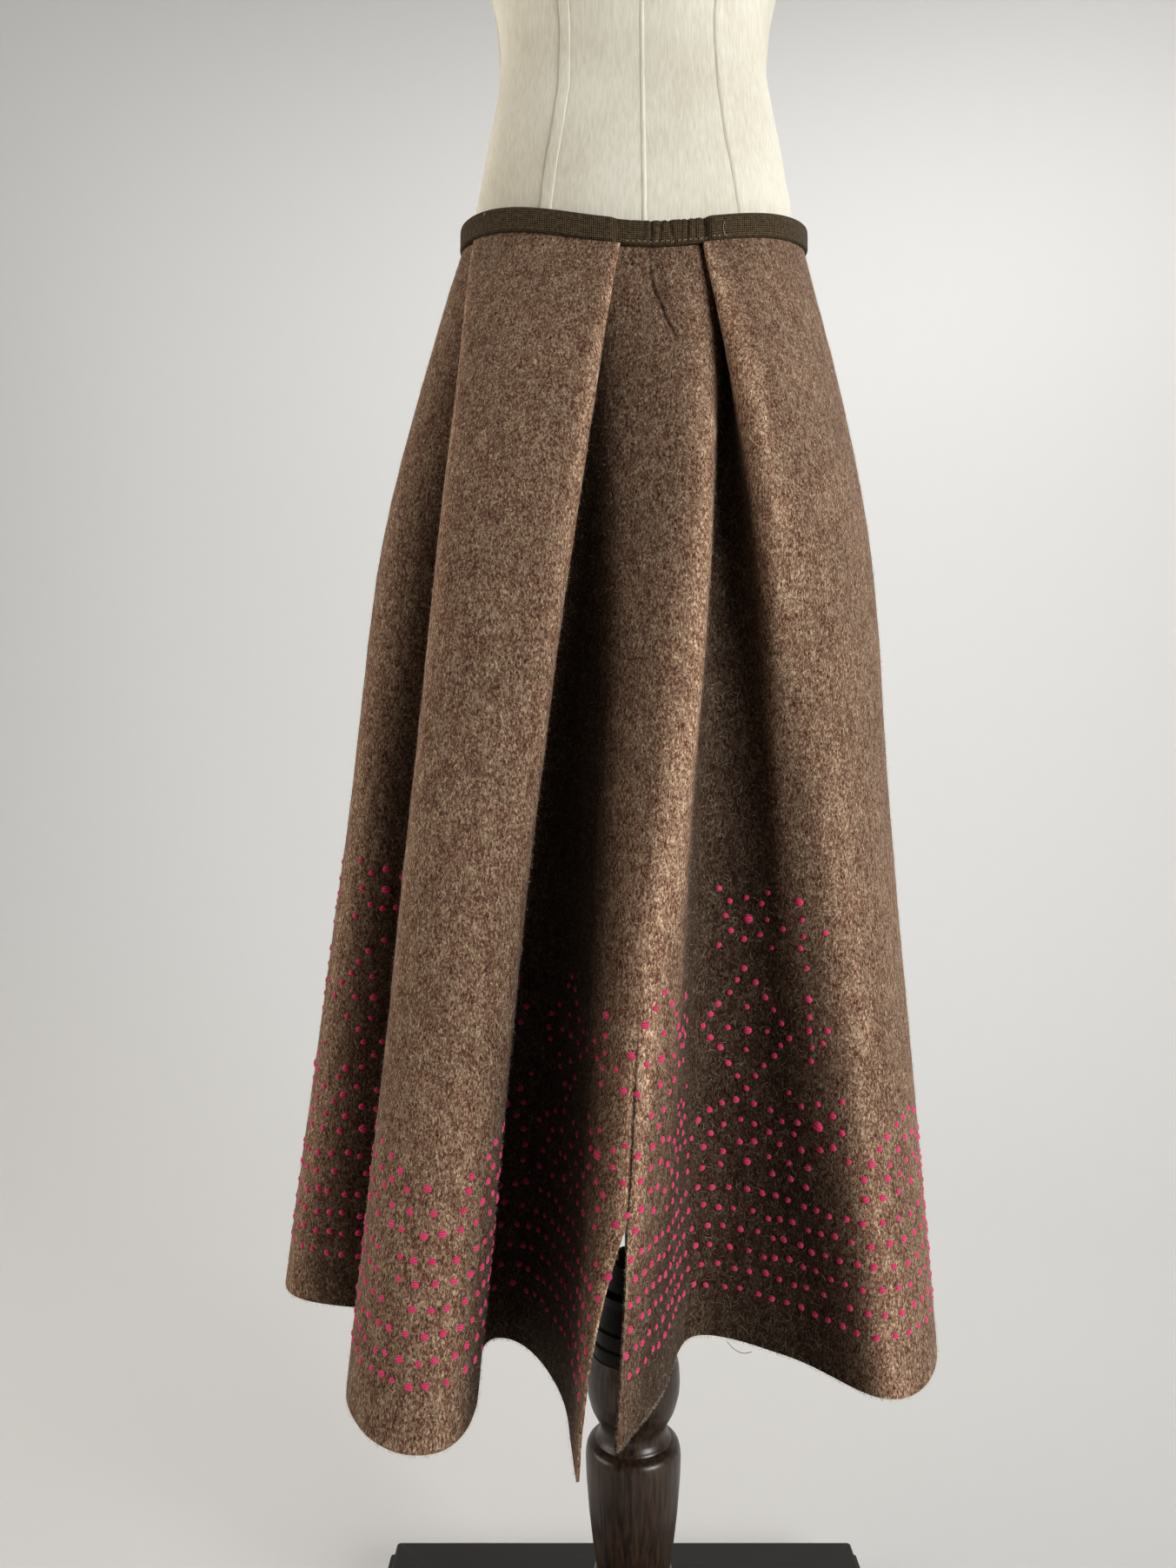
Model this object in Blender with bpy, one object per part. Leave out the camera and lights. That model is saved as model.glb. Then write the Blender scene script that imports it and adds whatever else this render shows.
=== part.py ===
"""Midi skirt in felted wool, worn on a limbless dress form with a turned stand.

Metres, +Z up. The origin is on the floor, under the axis of the stand's post.
The front faces -Y and +X is the viewer's right. The skirt hangs in inverted
and box pleats from a bound waist, with one seam at the centre front that is
left open as a slit above the hem.
"""

import math

import bmesh
import bpy
from mathutils import Vector

# Driving dimensions of the skirt
CLOTH_WALL = 0.0018
PRESSED_WALL = 0.0012
TURN_KEEP = 0.6
LAYER_STEP = 0.0030
SEAM_GAP = 0.0003
WAIST_HALF_WIDTH = 0.1405
WAIST_FRONT_DEPTH = 0.1050
WAIST_BACK_DEPTH = 0.1005
HIP_HEIGHT = 1.05
KNEE_HEIGHT = 0.80
BACK_HEM_HEIGHT = 0.434

# The top edge of the band dips at the front and rises at the back
BAND_SIDE_HEIGHT = 1.285
BAND_TILT = 0.018
BAND_BOW = 0.008
BAND_DIP = 0.0145
BAND_DIP_POWER = 6
BAND_ROLL = 0.0045
BAND_TALL = 0.0190
BAND_PROUD = 0.0020
BAND_SIDE_WALL = 0.0050
BAND_FORM_GAP = 0.0004
BAND_RECESS = 0.0030

# The band is gathered at the front, between the pleats. Angles are in degrees
GATHER_MIDDLE = 7.0
GATHER_HALF = 14.5
GATHER_SOFT = 4.0
GATHER_REACH = 19
GATHER_COUNT = 7
GATHER_DEPTH = 0.0006
BAND_PLAIN_STEPS = 80
BAND_PROFILE = (
    # share of the height, share of the wall from inside to outside
    (0.00, 1.00),
    (0.60, 1.06),
    (0.94, 0.92),
    (1.00, 0.45),
    (0.92, 0.00),
    (0.00, 0.00),
)

# How far down the cloth each level lies, from 0 at the waist to 1 at the hem
LEVEL_SHARES = (0.0, 0.25, 0.55, 1.0)
SLIT_SHARE = 0.842
SLIT_CURL = 2.5
SEAM_HEM = (-0.0215, -0.2200, 0.410)

# A row for each fold line, from the centre front seam round to the viewer's
# right. The waist angle is measured from the front, the layer counts inwards.
FRONT_RIGHT_FOLDS = (
    # name, waist angle, layer, hip x, hip y, knee x, knee y, hem x, hem y, hem z
    ("slit edge", 2.2, 2.0, 0.0048, -0.135, 0.0016, -0.166, -0.0208, -0.218, 0.411),
    ("ridge top", 8.0, 2.0, 0.027, -0.142, 0.018, -0.171, -0.003, -0.186, 0.412),
    ("ridge crest", 15.0, 2.0, 0.050, -0.141, 0.033, -0.160, 0.015, -0.150, 0.412),
    ("ridge back", 26.0, 2.2, 0.053, -0.121, 0.034, -0.137, 0.025, -0.112, 0.413),
    ("hollow floor", 34.5, 2.4, 0.054, -0.104, 0.041, -0.103, 0.036, -0.080, 0.415),
    ("hollow turn", 34.5, 1.3, 0.070, -0.106, 0.064, -0.098, 0.062, -0.080, 0.415),
    ("pleat under", 22.0, 1.7, 0.075, -0.118, 0.090, -0.108, 0.094, -0.096, 0.413),
    ("pleat edge", 18.6, 0.6, 0.0745, -0.136, 0.096, -0.122, 0.124, -0.116, 0.412),
    ("panel crease", 25.0, 0.0, 0.090, -0.148, 0.114, -0.131, 0.147, -0.146, 0.411),
    ("panel front", 42.0, 0.0, 0.120, -0.130, 0.146, -0.133, 0.169, -0.166, 0.411),
    ("panel round", 58.0, 0.0, 0.156, -0.092, 0.180, -0.092, 0.202, -0.146, 0.412),
    ("side flare", 74.0, 0.0, 0.183, -0.040, 0.203, -0.044, 0.221, -0.098, 0.418),
    ("side turn", 85.0, 0.0, 0.187, 0.000, 0.208, 0.000, 0.227, -0.036, 0.424),
    ("side seam", 96.0, 0.0, 0.184, 0.036, 0.204, 0.036, 0.227, 0.026, 0.430),
)

# A row for each fold line, from the side seam at the viewer's left to the
# centre front seam
FRONT_LEFT_FOLDS = (
    # name, waist angle, layer, hip x, hip y, knee x, knee y, hem x, hem y, hem z
    ("side seam", -96.0, 0.0, -0.184, 0.034, -0.214, 0.034, -0.262, 0.034, 0.436),
    ("side turn", -86.0, -0.4, -0.200, -0.010, -0.232, -0.014, -0.283, -0.014, 0.434),
    ("side flare", -76.0, 0.2, -0.192, -0.052, -0.224, -0.062, -0.272, -0.064, 0.434),
    ("floor start", -63.0, 1.8, -0.160, -0.074, -0.194, -0.074, -0.222, -0.076, 0.434),
    ("floor", -51.0, 2.0, -0.132, -0.074, -0.160, -0.064, -0.178, -0.068, 0.428),
    ("floor turn", -51.0, 1.0, -0.124, -0.084, -0.146, -0.078, -0.158, -0.086, 0.424),
    ("box under", -60.0, 1.0, -0.138, -0.096, -0.164, -0.106, -0.200, -0.122, 0.418),
    ("box left edge", -68.0, 0.5, -0.1425, -0.108, -0.1665, -0.128, -0.206, -0.156, 0.414),
    ("box left", -64.0, 0.0, -0.136, -0.126, -0.158, -0.148, -0.188, -0.196, 0.412),
    ("box middle", -46.0, 0.0, -0.106, -0.144, -0.134, -0.164, -0.157, -0.222, 0.410),
    ("box right", -26.0, 0.0, -0.070, -0.146, -0.102, -0.166, -0.124, -0.220, 0.410),
    ("box shoulder", -9.5, 0.0, -0.044, -0.140, -0.0765, -0.152, -0.112, -0.184, 0.412),
    ("box right edge", -4.2, 0.25, -0.039, -0.128, -0.0740, -0.132, -0.1125, -0.150, 0.412),
    ("box tuck", -8.0, 1.0, -0.052, -0.112, -0.082, -0.106, -0.119, -0.112, 0.413),
    ("valley turn", -20.5, 1.0, -0.068, -0.104, -0.088, -0.080, -0.114, -0.078, 0.414),
    ("valley floor", -20.5, 2.0, -0.058, -0.097, -0.066, -0.074, -0.088, -0.084, 0.414),
    ("ridge foot", -14.0, 2.0, -0.038, -0.104, -0.044, -0.096, -0.066, -0.122, 0.413),
    ("ridge left", -8.0, 2.0, -0.026, -0.121, -0.032, -0.132, -0.050, -0.166, 0.412),
    ("ridge top", -3.0, 2.0, -0.013, -0.130, -0.018, -0.156, -0.047, -0.206, 0.410),
    ("slit edge", 2.2, 2.0, 0.0048, -0.135, 0.0016, -0.166, -0.0435, -0.243, 0.408),
)

# The back flares in even, soft folds. A row for each level
BACK_FOLDS = 5
BACK_LEVELS = (
    # half width, half depth, shift in x, depth of a fold
    (0.180, 0.146, -0.003, 0.005),
    (0.209, 0.180, -0.005, 0.016),
    (0.252, 0.228, -0.010, 0.036),
)

# How finely the solids follow the folds
FRONT_STEPS = 4
BACK_STEPS = 3
ROWS_ABOVE_SLIT = 12
ROWS_BESIDE_SLIT = 4
ROW_CROWDING = 1.35

# The dress form, a row for each height
FORM_SIDES = 32
FORM_SECTIONS = (
    # height, half width, depth in front, depth behind
    (1.155, 0.1120, 0.0760, 0.0780),
    (1.159, 0.1290, 0.0880, 0.0900),
    (1.168, 0.1370, 0.0925, 0.0945),
    (1.190, 0.1390, 0.0945, 0.0960),
    (1.220, 0.1350, 0.0955, 0.0955),
    (1.250, 0.1325, 0.0955, 0.0950),
    (1.275, 0.1308, 0.0935, 0.0935),
    (1.300, 0.1290, 0.0912, 0.0912),
    (1.320, 0.1256, 0.0892, 0.0890),
    (1.345, 0.1213, 0.0870, 0.0863),
    (1.380, 0.1142, 0.0845, 0.0832),
    (1.415, 0.1090, 0.0835, 0.0815),
    (1.450, 0.1112, 0.0848, 0.0815),
    (1.480, 0.1170, 0.0885, 0.0830),
    (1.520, 0.1245, 0.0965, 0.0860),
    (1.560, 0.1305, 0.1070, 0.0890),
    (1.600, 0.1352, 0.1140, 0.0920),
    (1.640, 0.1392, 0.1125, 0.0945),
    (1.680, 0.1435, 0.1030, 0.0955),
    (1.720, 0.1490, 0.0915, 0.0930),
    (1.750, 0.1515, 0.0830, 0.0870),
    (1.775, 0.1420, 0.0745, 0.0780),
    (1.795, 0.1170, 0.0665, 0.0695),
    (1.812, 0.0860, 0.0590, 0.0620),
    (1.828, 0.0645, 0.0535, 0.0565),
    (1.846, 0.0560, 0.0500, 0.0530),
    (1.875, 0.0525, 0.0480, 0.0500),
)

# The turned and squared pieces of the stand, each outline from the bottom up
TURNED_SIDES = 24
ROD_SIDES = 16
ROD_RADIUS = 0.0070
POST_FOOT = 0.0388
COLLAR_FOOT = 0.3620
COLLAR_TOP = 0.4408
BASE_HALF = 0.2445
PLINTH_TOP = 0.0200
BASE_TOP = 0.0385
GROOVE_HALF = 0.1720
GROOVE_WIDE = 0.0022
GROOVE_DEEP = 0.0012
CAP_TOP = 1.9150

POST_OUTLINE = (
    # height, radius
    (POST_FOOT, 0.0400),
    (0.0480, 0.0400),
    (0.0560, 0.0365),
    (0.0640, 0.0300),
    (0.1000, 0.0262),
    (0.1500, 0.0258),
    (0.1700, 0.0275),
    (0.1750, 0.0325),
    (0.1800, 0.0325),
    (0.1830, 0.0300),
    (0.2022, 0.0330),
    (0.2320, 0.0366),
    (0.2600, 0.0388),
    (0.2780, 0.0394),
    (0.2860, 0.0380),
    (0.2892, 0.0340),
    (0.2900, 0.0312),
    (0.2914, 0.0306),
    (0.2930, 0.0292),
    (0.2978, 0.0272),
    (0.3040, 0.0282),
    (0.3160, 0.0346),
    (0.3290, 0.0380),
    (0.3390, 0.0386),
    (0.3520, 0.0378),
    (COLLAR_FOOT, 0.0345),
)
COLLAR_OUTLINE = (
    # height, radius
    (COLLAR_FOOT + SEAM_GAP, 0.0338),
    (0.3720, 0.0338),
    (0.3740, 0.0318),
    (0.3850, 0.0318),
    (0.3870, 0.0300),
    (0.4050, 0.0262),
    (0.4120, 0.0262),
    (0.4160, 0.0225),
    (0.4360, 0.0190),
    (COLLAR_TOP, 0.0170),
)
CAP_OUTLINE = (
    # height, radius
    (1.8753, 0.0470),
    (1.8790, 0.0500),
    (1.8850, 0.0500),
    (1.8880, 0.0460),
    (1.8910, 0.0240),
    (1.8960, 0.0160),
    (1.9020, 0.0170),
    (1.9090, 0.0155),
    (1.9130, 0.0110),
    (CAP_TOP, 0.0050),
)
PLINTH_OUTLINE = (
    # height, half side
    (0.0, BASE_HALF - 0.0020),
    (0.0020, BASE_HALF),
    (PLINTH_TOP - 0.0020, BASE_HALF),
    (PLINTH_TOP, BASE_HALF - 0.0020),
)
BOARD_OUTLINE = (
    # height, half side
    (PLINTH_TOP + SEAM_GAP, BASE_HALF - 0.0110),
    (BASE_TOP - 0.0030, BASE_HALF - 0.0080),
    (BASE_TOP, BASE_HALF - 0.0110),
    (BASE_TOP, GROOVE_HALF + GROOVE_WIDE),
    (BASE_TOP - GROOVE_DEEP, GROOVE_HALF + GROOVE_WIDE),
    (BASE_TOP - GROOVE_DEEP, GROOVE_HALF),
    (BASE_TOP, GROOVE_HALF),
)

# Colours as the photograph shows them, in linear light
FINISHES = (
    # name, colour, roughness, metallic
    ("felted_wool", (0.155, 0.112, 0.080), 0.95, 0.0),
    ("linen_tape", (0.052, 0.042, 0.031), 0.85, 0.0),
    ("calico", (0.74, 0.72, 0.65), 0.85, 0.0),
    ("dark_wood", (0.030, 0.020, 0.014), 0.40, 0.0),
    ("black_metal", (0.012, 0.012, 0.013), 0.35, 0.6),
)
SHARP_ANGLE = 40.0


def clear_scene():
    """Start from an empty scene."""
    for old in list(bpy.data.objects):
        bpy.data.objects.remove(old, do_unlink=True)


def material(name, colour, roughness, metallic):
    """A Principled material with one colour."""
    made = bpy.data.materials.new(name)
    made.use_nodes = True
    shader = made.node_tree.nodes["Principled BSDF"]
    shader.inputs["Base Color"].default_value = (*colour, 1.0)
    shader.inputs["Roughness"].default_value = roughness
    shader.inputs["Metallic"].default_value = metallic
    return made


def solid(name, points, faces, finish):
    """One closed body from its points and faces, with its faces turned out."""
    mesh = bpy.data.meshes.new(name)
    mesh.from_pydata([tuple(point) for point in points], [], faces)
    work = bmesh.new()
    work.from_mesh(mesh)
    bmesh.ops.recalc_face_normals(work, faces=work.faces)
    work.to_mesh(mesh)
    work.free()
    mesh.shade_smooth()
    mesh.set_sharp_from_angle(angle=math.radians(SHARP_ANGLE))
    mesh.materials.append(finish)
    made = bpy.data.objects.new(name, mesh)
    bpy.context.scene.collection.objects.link(made)
    return made


def band_height(angle):
    """Height of the band's top edge at an angle from the front, in radians."""
    forward = math.cos(angle)
    ahead = max(0.0, forward)
    slope = BAND_TILT * forward + BAND_BOW * forward**2
    dip = BAND_DIP * ahead**BAND_DIP_POWER
    roll = BAND_ROLL * math.sin(angle) * ahead
    return BAND_SIDE_HEIGHT - slope - dip - roll


def band_height_at(point):
    """Height of the band's top edge over a point of the plan."""
    depth = WAIST_FRONT_DEPTH if point.y < 0.0 else WAIST_BACK_DEPTH
    return band_height(math.atan2(point.x / WAIST_HALF_WIDTH, -point.y / depth))


def waist_place(angle, inward):
    """A point of the waist oval, a distance inside its outermost layer."""
    forward = math.cos(angle)
    depth = WAIST_FRONT_DEPTH if forward > 0.0 else WAIST_BACK_DEPTH
    return Vector((
        (WAIST_HALF_WIDTH - inward) * math.sin(angle),
        -(depth - inward) * forward,
        band_height(angle) - BAND_TALL - SEAM_GAP,
    ))


def back_rows():
    """The back's fold lines, ridges and hollows in turn, as rows of a table."""
    count = 2 * BACK_FOLDS
    start = FRONT_RIGHT_FOLDS[-1][1]
    sweep = 360.0 + FRONT_LEFT_FOLDS[0][1] - start
    rows = []
    for k in range(1, count):
        degrees = start + sweep * k / count
        angle = math.radians(degrees)
        wave = 1.0 if k % 2 else -1.0
        places = []
        for half_width, half_depth, shift, fold in BACK_LEVELS:
            across = math.sin(angle) / half_width
            along = math.cos(angle) / half_depth
            reach = 1.0 / math.hypot(across, along) + fold * wave
            places += [shift + reach * math.sin(angle), -reach * math.cos(angle)]
        rows.append((f"back {k}", degrees, 0.0, *places, BACK_HEM_HEIGHT))
    return rows


def fold_line(row, share):
    """A fold line's place at a share of the way down, smooth through its levels."""
    _, degrees, layer, hip_x, hip_y, knee_x, knee_y, hem_x, hem_y, hem_z = row
    points = (
        waist_place(math.radians(degrees), layer * LAYER_STEP),
        Vector((hip_x, hip_y, HIP_HEIGHT)),
        Vector((knee_x, knee_y, KNEE_HEIGHT)),
        Vector((hem_x, hem_y, hem_z)),
    )
    spans = [b - a for a, b in zip(LEVEL_SHARES, LEVEL_SHARES[1:])]
    slopes = [(b - a) / span for a, b, span in zip(points, points[1:], spans)]
    hip = (slopes[0] * spans[1] + slopes[1] * spans[0]) / (spans[0] + spans[1])
    knee = (slopes[1] * spans[2] + slopes[2] * spans[1]) / (spans[1] + spans[2])
    ends = (1.5 * slopes[0] - 0.5 * hip, hip, knee, 1.5 * slopes[2] - 0.5 * knee)
    level = 0 if share < LEVEL_SHARES[1] else 1 if share < LEVEL_SHARES[2] else 2
    q = (share - LEVEL_SHARES[level]) / spans[level]
    return (
        (2 * q**3 - 3 * q**2 + 1) * points[level]
        + (q**3 - 2 * q**2 + q) * spans[level] * ends[level]
        + (3 * q**2 - 2 * q**3) * points[level + 1]
        + (q**3 - q**2) * spans[level] * ends[level + 1]
    )


def section_controls(share):
    """The control points of the whole section at one share of the way down."""
    rows = (*FRONT_RIGHT_FOLDS, *back_rows(), *FRONT_LEFT_FOLDS)
    controls = [fold_line(row, share) for row in rows]
    seam_row = (*FRONT_RIGHT_FOLDS[0][:7], *SEAM_HEM)
    seam = fold_line(seam_row, share)
    below = max(0.0, (share - SLIT_SHARE) / (1.0 - SLIT_SHARE))
    gape = 1.0 - (1.0 - below) ** SLIT_CURL
    right = seam + (Vector(FRONT_RIGHT_FOLDS[0][7:]) - Vector(SEAM_HEM)) * gape
    left = seam + (Vector(FRONT_LEFT_FOLDS[-1][7:]) - Vector(SEAM_HEM)) * gape
    before = controls[-2].lerp(2.0 * right - controls[1], gape)
    after = controls[1].lerp(2.0 * left - controls[-2], gape)
    controls[0] = (6.0 * right - before - controls[1]) / 4.0
    controls[-1] = (6.0 * left - after - controls[-2]) / 4.0
    return [before, *controls, after]


def on_spline(controls, place):
    """Point, direction and radius of the cubic B-spline, at a place in its counts."""
    span = min(int(place), len(controls) - 4)
    t = place - span
    a, b, c, d = controls[span:span + 4]
    point = (
        a * (1 - t) ** 3
        + b * (3 * t**3 - 6 * t**2 + 4)
        + c * (-3 * t**3 + 3 * t**2 + 3 * t + 1)
        + d * t**3
    ) / 6.0
    along = (
        a * -((1 - t) ** 2)
        + b * (3 * t**2 - 4 * t)
        + c * (-3 * t**2 + 2 * t + 1)
        + d * t**2
    ) / 2.0
    bend = a * (1 - t) + b * (3 * t - 2) + c * (1 - 3 * t) + d * t
    turning = abs(along.x * bend.y - along.y * bend.x)
    radius = along.xy.length**3 / max(turning, 1e-12)
    return point, along, radius


def row_shares():
    """How far down each row of the panels lies, closer together at the waist."""
    above = [SLIT_SHARE * (i / ROWS_ABOVE_SLIT) ** ROW_CROWDING
             for i in range(ROWS_ABOVE_SLIT + 1)]
    below = [SLIT_SHARE + (1.0 - SLIT_SHARE) * i / ROWS_BESIDE_SLIT
             for i in range(1, ROWS_BESIDE_SLIT + 1)]
    return above + below


def skirt_panel(name, first, last, steps, finish):
    """A wall of cloth between two fold lines, given by their counts."""
    count = (last - first) * steps + 1
    outer = []
    inner = []
    shares = row_shares()
    for share in shares:
        controls = section_controls(share)
        places = [first + k / steps for k in range(count)]
        samples = [on_spline(controls, place) for place in places]
        tight = [samples[0][2], *[radius for _, _, radius in samples], samples[-1][2]]
        pressed = max(0.0, 1.0 - share / LEVEL_SHARES[1])
        wall = CLOTH_WALL + (PRESSED_WALL - CLOTH_WALL) * pressed
        for k in range(count):
            point, along, _ = samples[k]
            along.normalize()
            if k == 0:
                point = point + along * SEAM_GAP / 2.0
            if k == count - 1:
                point = point - along * SEAM_GAP / 2.0
            half = min(wall / 2.0, TURN_KEEP * min(tight[k:k + 3]))
            away = Vector((along.y, -along.x, 0.0)).normalized() * half
            outer.append(point + away)
            inner.append(point - away)
    for point in outer[:count] + inner[:count]:
        point.z = band_height_at(point) - BAND_TALL - SEAM_GAP
    rows = len(shares)
    back = rows * count
    faces = []
    for i in range(rows - 1):
        for k in range(count - 1):
            a = i * count + k
            b = a + count
            faces += [(a, b, b + 1), (a, b + 1, a + 1)]
            faces.append((back + a, back + b + 1, back + b))
            faces.append((back + a, back + a + 1, back + b + 1))
        for k in (0, count - 1):
            a = i * count + k
            b = a + count
            faces.append((a, back + a, back + b, b))
    for i in (0, rows - 1):
        for k in range(count - 1):
            a = i * count + k
            faces.append((a, a + 1, back + a + 1, back + a))
    return solid(name, outer + inner, faces, finish)


def form_size(height):
    """Half width and the two depths of the form at a height."""
    for low, high in zip(FORM_SECTIONS, FORM_SECTIONS[1:]):
        if low[0] <= height <= high[0]:
            share = (height - low[0]) / (high[0] - low[0])
            return [a + (b - a) * share for a, b in zip(low[1:], high[1:])]
    raise ValueError("height outside the form")


def oval_place(angle, half_width, front, back, height):
    """A point of an oval that is deeper in front than behind, or the other way."""
    forward = math.cos(angle)
    depth = front if forward > 0.0 else back
    return Vector((half_width * math.sin(angle), -depth * forward, height))


def gather_window(degrees):
    """1 between the two front pleats, where the band is gathered, 0 elsewhere."""
    away = (GATHER_HALF - abs(degrees - GATHER_MIDDLE)) / GATHER_SOFT
    share = min(1.0, max(0.0, away + 0.5))
    return share * share * (3.0 - 2.0 * share)


def band_angles():
    """Angles round the band in degrees, a degree apart where it is gathered."""
    gathered = [GATHER_MIDDLE + k for k in range(-GATHER_REACH, GATHER_REACH + 1)]
    step = (360.0 - 2.0 * GATHER_REACH) / BAND_PLAIN_STEPS
    plain = [gathered[-1] + step * k for k in range(1, BAND_PLAIN_STEPS)]
    return gathered + plain


def waistband(finish):
    """The linen binding: a ring that holds the top of the pleats to the form."""
    angles = band_angles()
    points = []
    for degrees in angles:
        angle = math.radians(degrees)
        window = gather_window(degrees)
        phase = math.pi * (degrees - GATHER_MIDDLE) * GATHER_COUNT / GATHER_HALF
        ripple = GATHER_DEPTH * window * math.cos(phase)
        inset = BAND_RECESS * window - ripple
        top = band_height(angle)
        outer_width = WAIST_HALF_WIDTH + BAND_PROUD - inset
        outer_front = WAIST_FRONT_DEPTH + BAND_PROUD - inset
        outer_back = WAIST_BACK_DEPTH + BAND_PROUD - inset
        for up, out in BAND_PROFILE:
            height = top - BAND_TALL * (1.0 - up)
            _, form_front, form_back = form_size(height)
            outside = oval_place(angle, outer_width, outer_front, outer_back, height)
            inside = oval_place(
                angle,
                WAIST_HALF_WIDTH + BAND_PROUD - BAND_SIDE_WALL,
                form_front + BAND_FORM_GAP,
                form_back + BAND_FORM_GAP,
                height,
            )
            point = inside.lerp(outside, out)
            point.z = band_height_at(point) - BAND_TALL * (1.0 - up)
            points.append(point)
    around = len(angles)
    sides = len(BAND_PROFILE)
    faces = []
    for i in range(around):
        for k in range(sides):
            a = i * sides + k
            b = i * sides + (k + 1) % sides
            c = ((i + 1) % around) * sides + (k + 1) % sides
            d = ((i + 1) % around) * sides + k
            faces.append((a, b, c, d))
    return solid("waistband", points, faces, finish)


def ringed(name, rings, finish):
    """A closed body through rings of points, from the bottom up."""
    sides = len(rings[0])
    points = [point for ring in rings for point in ring]
    faces = []
    for i in range(len(rings) - 1):
        for k in range(sides):
            a = i * sides + k
            b = i * sides + (k + 1) % sides
            faces.append((a, b, b + sides, a + sides))
    faces.append(tuple(range(sides)))
    faces.append(tuple(range((len(rings) - 1) * sides, len(rings) * sides)))
    return solid(name, points, faces, finish)


def turned(name, outline, sides, finish):
    """A piece turned about the stand's axis, from heights and radii."""
    rings = []
    for height, radius in outline:
        angles = [2.0 * math.pi * k / sides for k in range(sides)]
        rings.append([Vector((radius * math.sin(a), -radius * math.cos(a), height))
                      for a in angles])
    return ringed(name, rings, finish)


def squared(name, outline, finish):
    """A square board, from heights and half sides."""
    corners = ((-1, -1), (1, -1), (1, 1), (-1, 1))
    rings = [[Vector((x * half, y * half, height)) for x, y in corners]
             for height, half in outline]
    return ringed(name, rings, finish)


def dress_form(finish):
    """The limbless form, through ovals from the hips to the neck."""
    angles = [2.0 * math.pi * k / FORM_SIDES for k in range(FORM_SIDES)]
    rings = [[oval_place(angle, half_width, front, back, height) for angle in angles]
             for height, half_width, front, back in FORM_SECTIONS]
    return ringed("form_torso", rings, finish)


def main():
    clear_scene()
    felt, tape, calico, wood, metal = [material(*row) for row in FINISHES]

    right = len(FRONT_RIGHT_FOLDS) - 1
    left = right + 2 * BACK_FOLDS
    end = left + len(FRONT_LEFT_FOLDS) - 1
    skirt_panel("skirt_front_right", 0, right, FRONT_STEPS, felt)
    skirt_panel("skirt_back", right, left, BACK_STEPS, felt)
    skirt_panel("skirt_front_left", left, end, FRONT_STEPS, felt)
    waistband(tape)

    dress_form(calico)
    turned("form_neck_cap", CAP_OUTLINE, TURNED_SIDES, wood)
    rod_outline = (
        (COLLAR_TOP + SEAM_GAP, ROD_RADIUS),
        (FORM_SECTIONS[0][0] - SEAM_GAP, ROD_RADIUS),
    )
    turned("stand_rod", rod_outline, ROD_SIDES, metal)
    turned("stand_collar", COLLAR_OUTLINE, TURNED_SIDES, metal)
    turned("stand_post", POST_OUTLINE, TURNED_SIDES, wood)
    squared("base_plinth", PLINTH_OUTLINE, wood)
    squared("base_board", BOARD_OUTLINE, wood)


main()
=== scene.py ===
# %% [markdown]
# # A felted wool midi skirt on a dress form
#
# This notebook dresses a plain CAD model until it looks like the real thing. The
# object is a pleated skirt of thick felted wool, bound at the waist with linen
# tape and embroidered above its hem. It hangs on a padded dress form that a
# turned wood stand carries. Each cell makes one piece or one finish.
#
# The CAD frame comes first. It fixes where everything lies, in metres, with +Z up
# and the front facing -Y.

import math

import bpy
import numpy as np
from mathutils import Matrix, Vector, noise


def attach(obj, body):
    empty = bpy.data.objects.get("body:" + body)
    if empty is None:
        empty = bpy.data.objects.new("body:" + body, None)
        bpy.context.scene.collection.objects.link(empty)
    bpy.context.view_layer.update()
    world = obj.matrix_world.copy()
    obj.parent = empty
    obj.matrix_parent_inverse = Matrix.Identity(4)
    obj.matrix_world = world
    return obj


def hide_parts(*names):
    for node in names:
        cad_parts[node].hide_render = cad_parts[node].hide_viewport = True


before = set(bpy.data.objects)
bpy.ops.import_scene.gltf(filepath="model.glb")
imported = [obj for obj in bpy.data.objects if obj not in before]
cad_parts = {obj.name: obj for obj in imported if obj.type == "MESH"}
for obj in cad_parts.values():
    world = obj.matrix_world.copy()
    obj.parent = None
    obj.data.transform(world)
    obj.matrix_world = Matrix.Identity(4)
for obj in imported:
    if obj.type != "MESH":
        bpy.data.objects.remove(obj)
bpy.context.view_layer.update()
MM = 0.001

# %% [markdown]
# ## Small helpers
#
# Artists pick colours on a screen, so they are written here as sRGB hex values,
# and Blender's sockets want linear light. One function turns the first into the
# second. A second function adds a shader or geometry node together with its
# settings and links, which keeps each material as short as its recipe.

# %% Colours and nodes


def linear(hex_colour):
    """A #RRGGBB colour as the linear RGBA that Blender's sockets take."""
    shares = [int(hex_colour[i:i + 2], 16) / 255.0 for i in (1, 3, 5)]
    light = [s / 12.92 if s <= 0.04045 else ((s + 0.055) / 1.055) ** 2.4 for s in shares]
    return (*light, 1.0)


def add(tree, kind, inputs=None, **settings):
    """A node with its settings, and with values or links for its inputs."""
    node = tree.nodes.new(kind)
    for name, value in settings.items():
        setattr(node, name, value)
    for key, value in (inputs or {}).items():
        if isinstance(value, bpy.types.NodeSocket):
            tree.links.new(value, node.inputs[key])
        else:
            node.inputs[key].default_value = value
    return node


def new_material(name, roughness, **sockets):
    """An empty Principled material, and its node tree and shader."""
    made = bpy.data.materials.new(name)
    made.use_nodes = True
    shader = made.node_tree.nodes["Principled BSDF"]
    shader.inputs["Roughness"].default_value = roughness
    for socket, value in sockets.items():
        shader.inputs[socket.replace("_", " ")].default_value = value
    return made, made.node_tree, shader


print("white is", [round(c, 2) for c in linear("#FFFFFF")])
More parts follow.
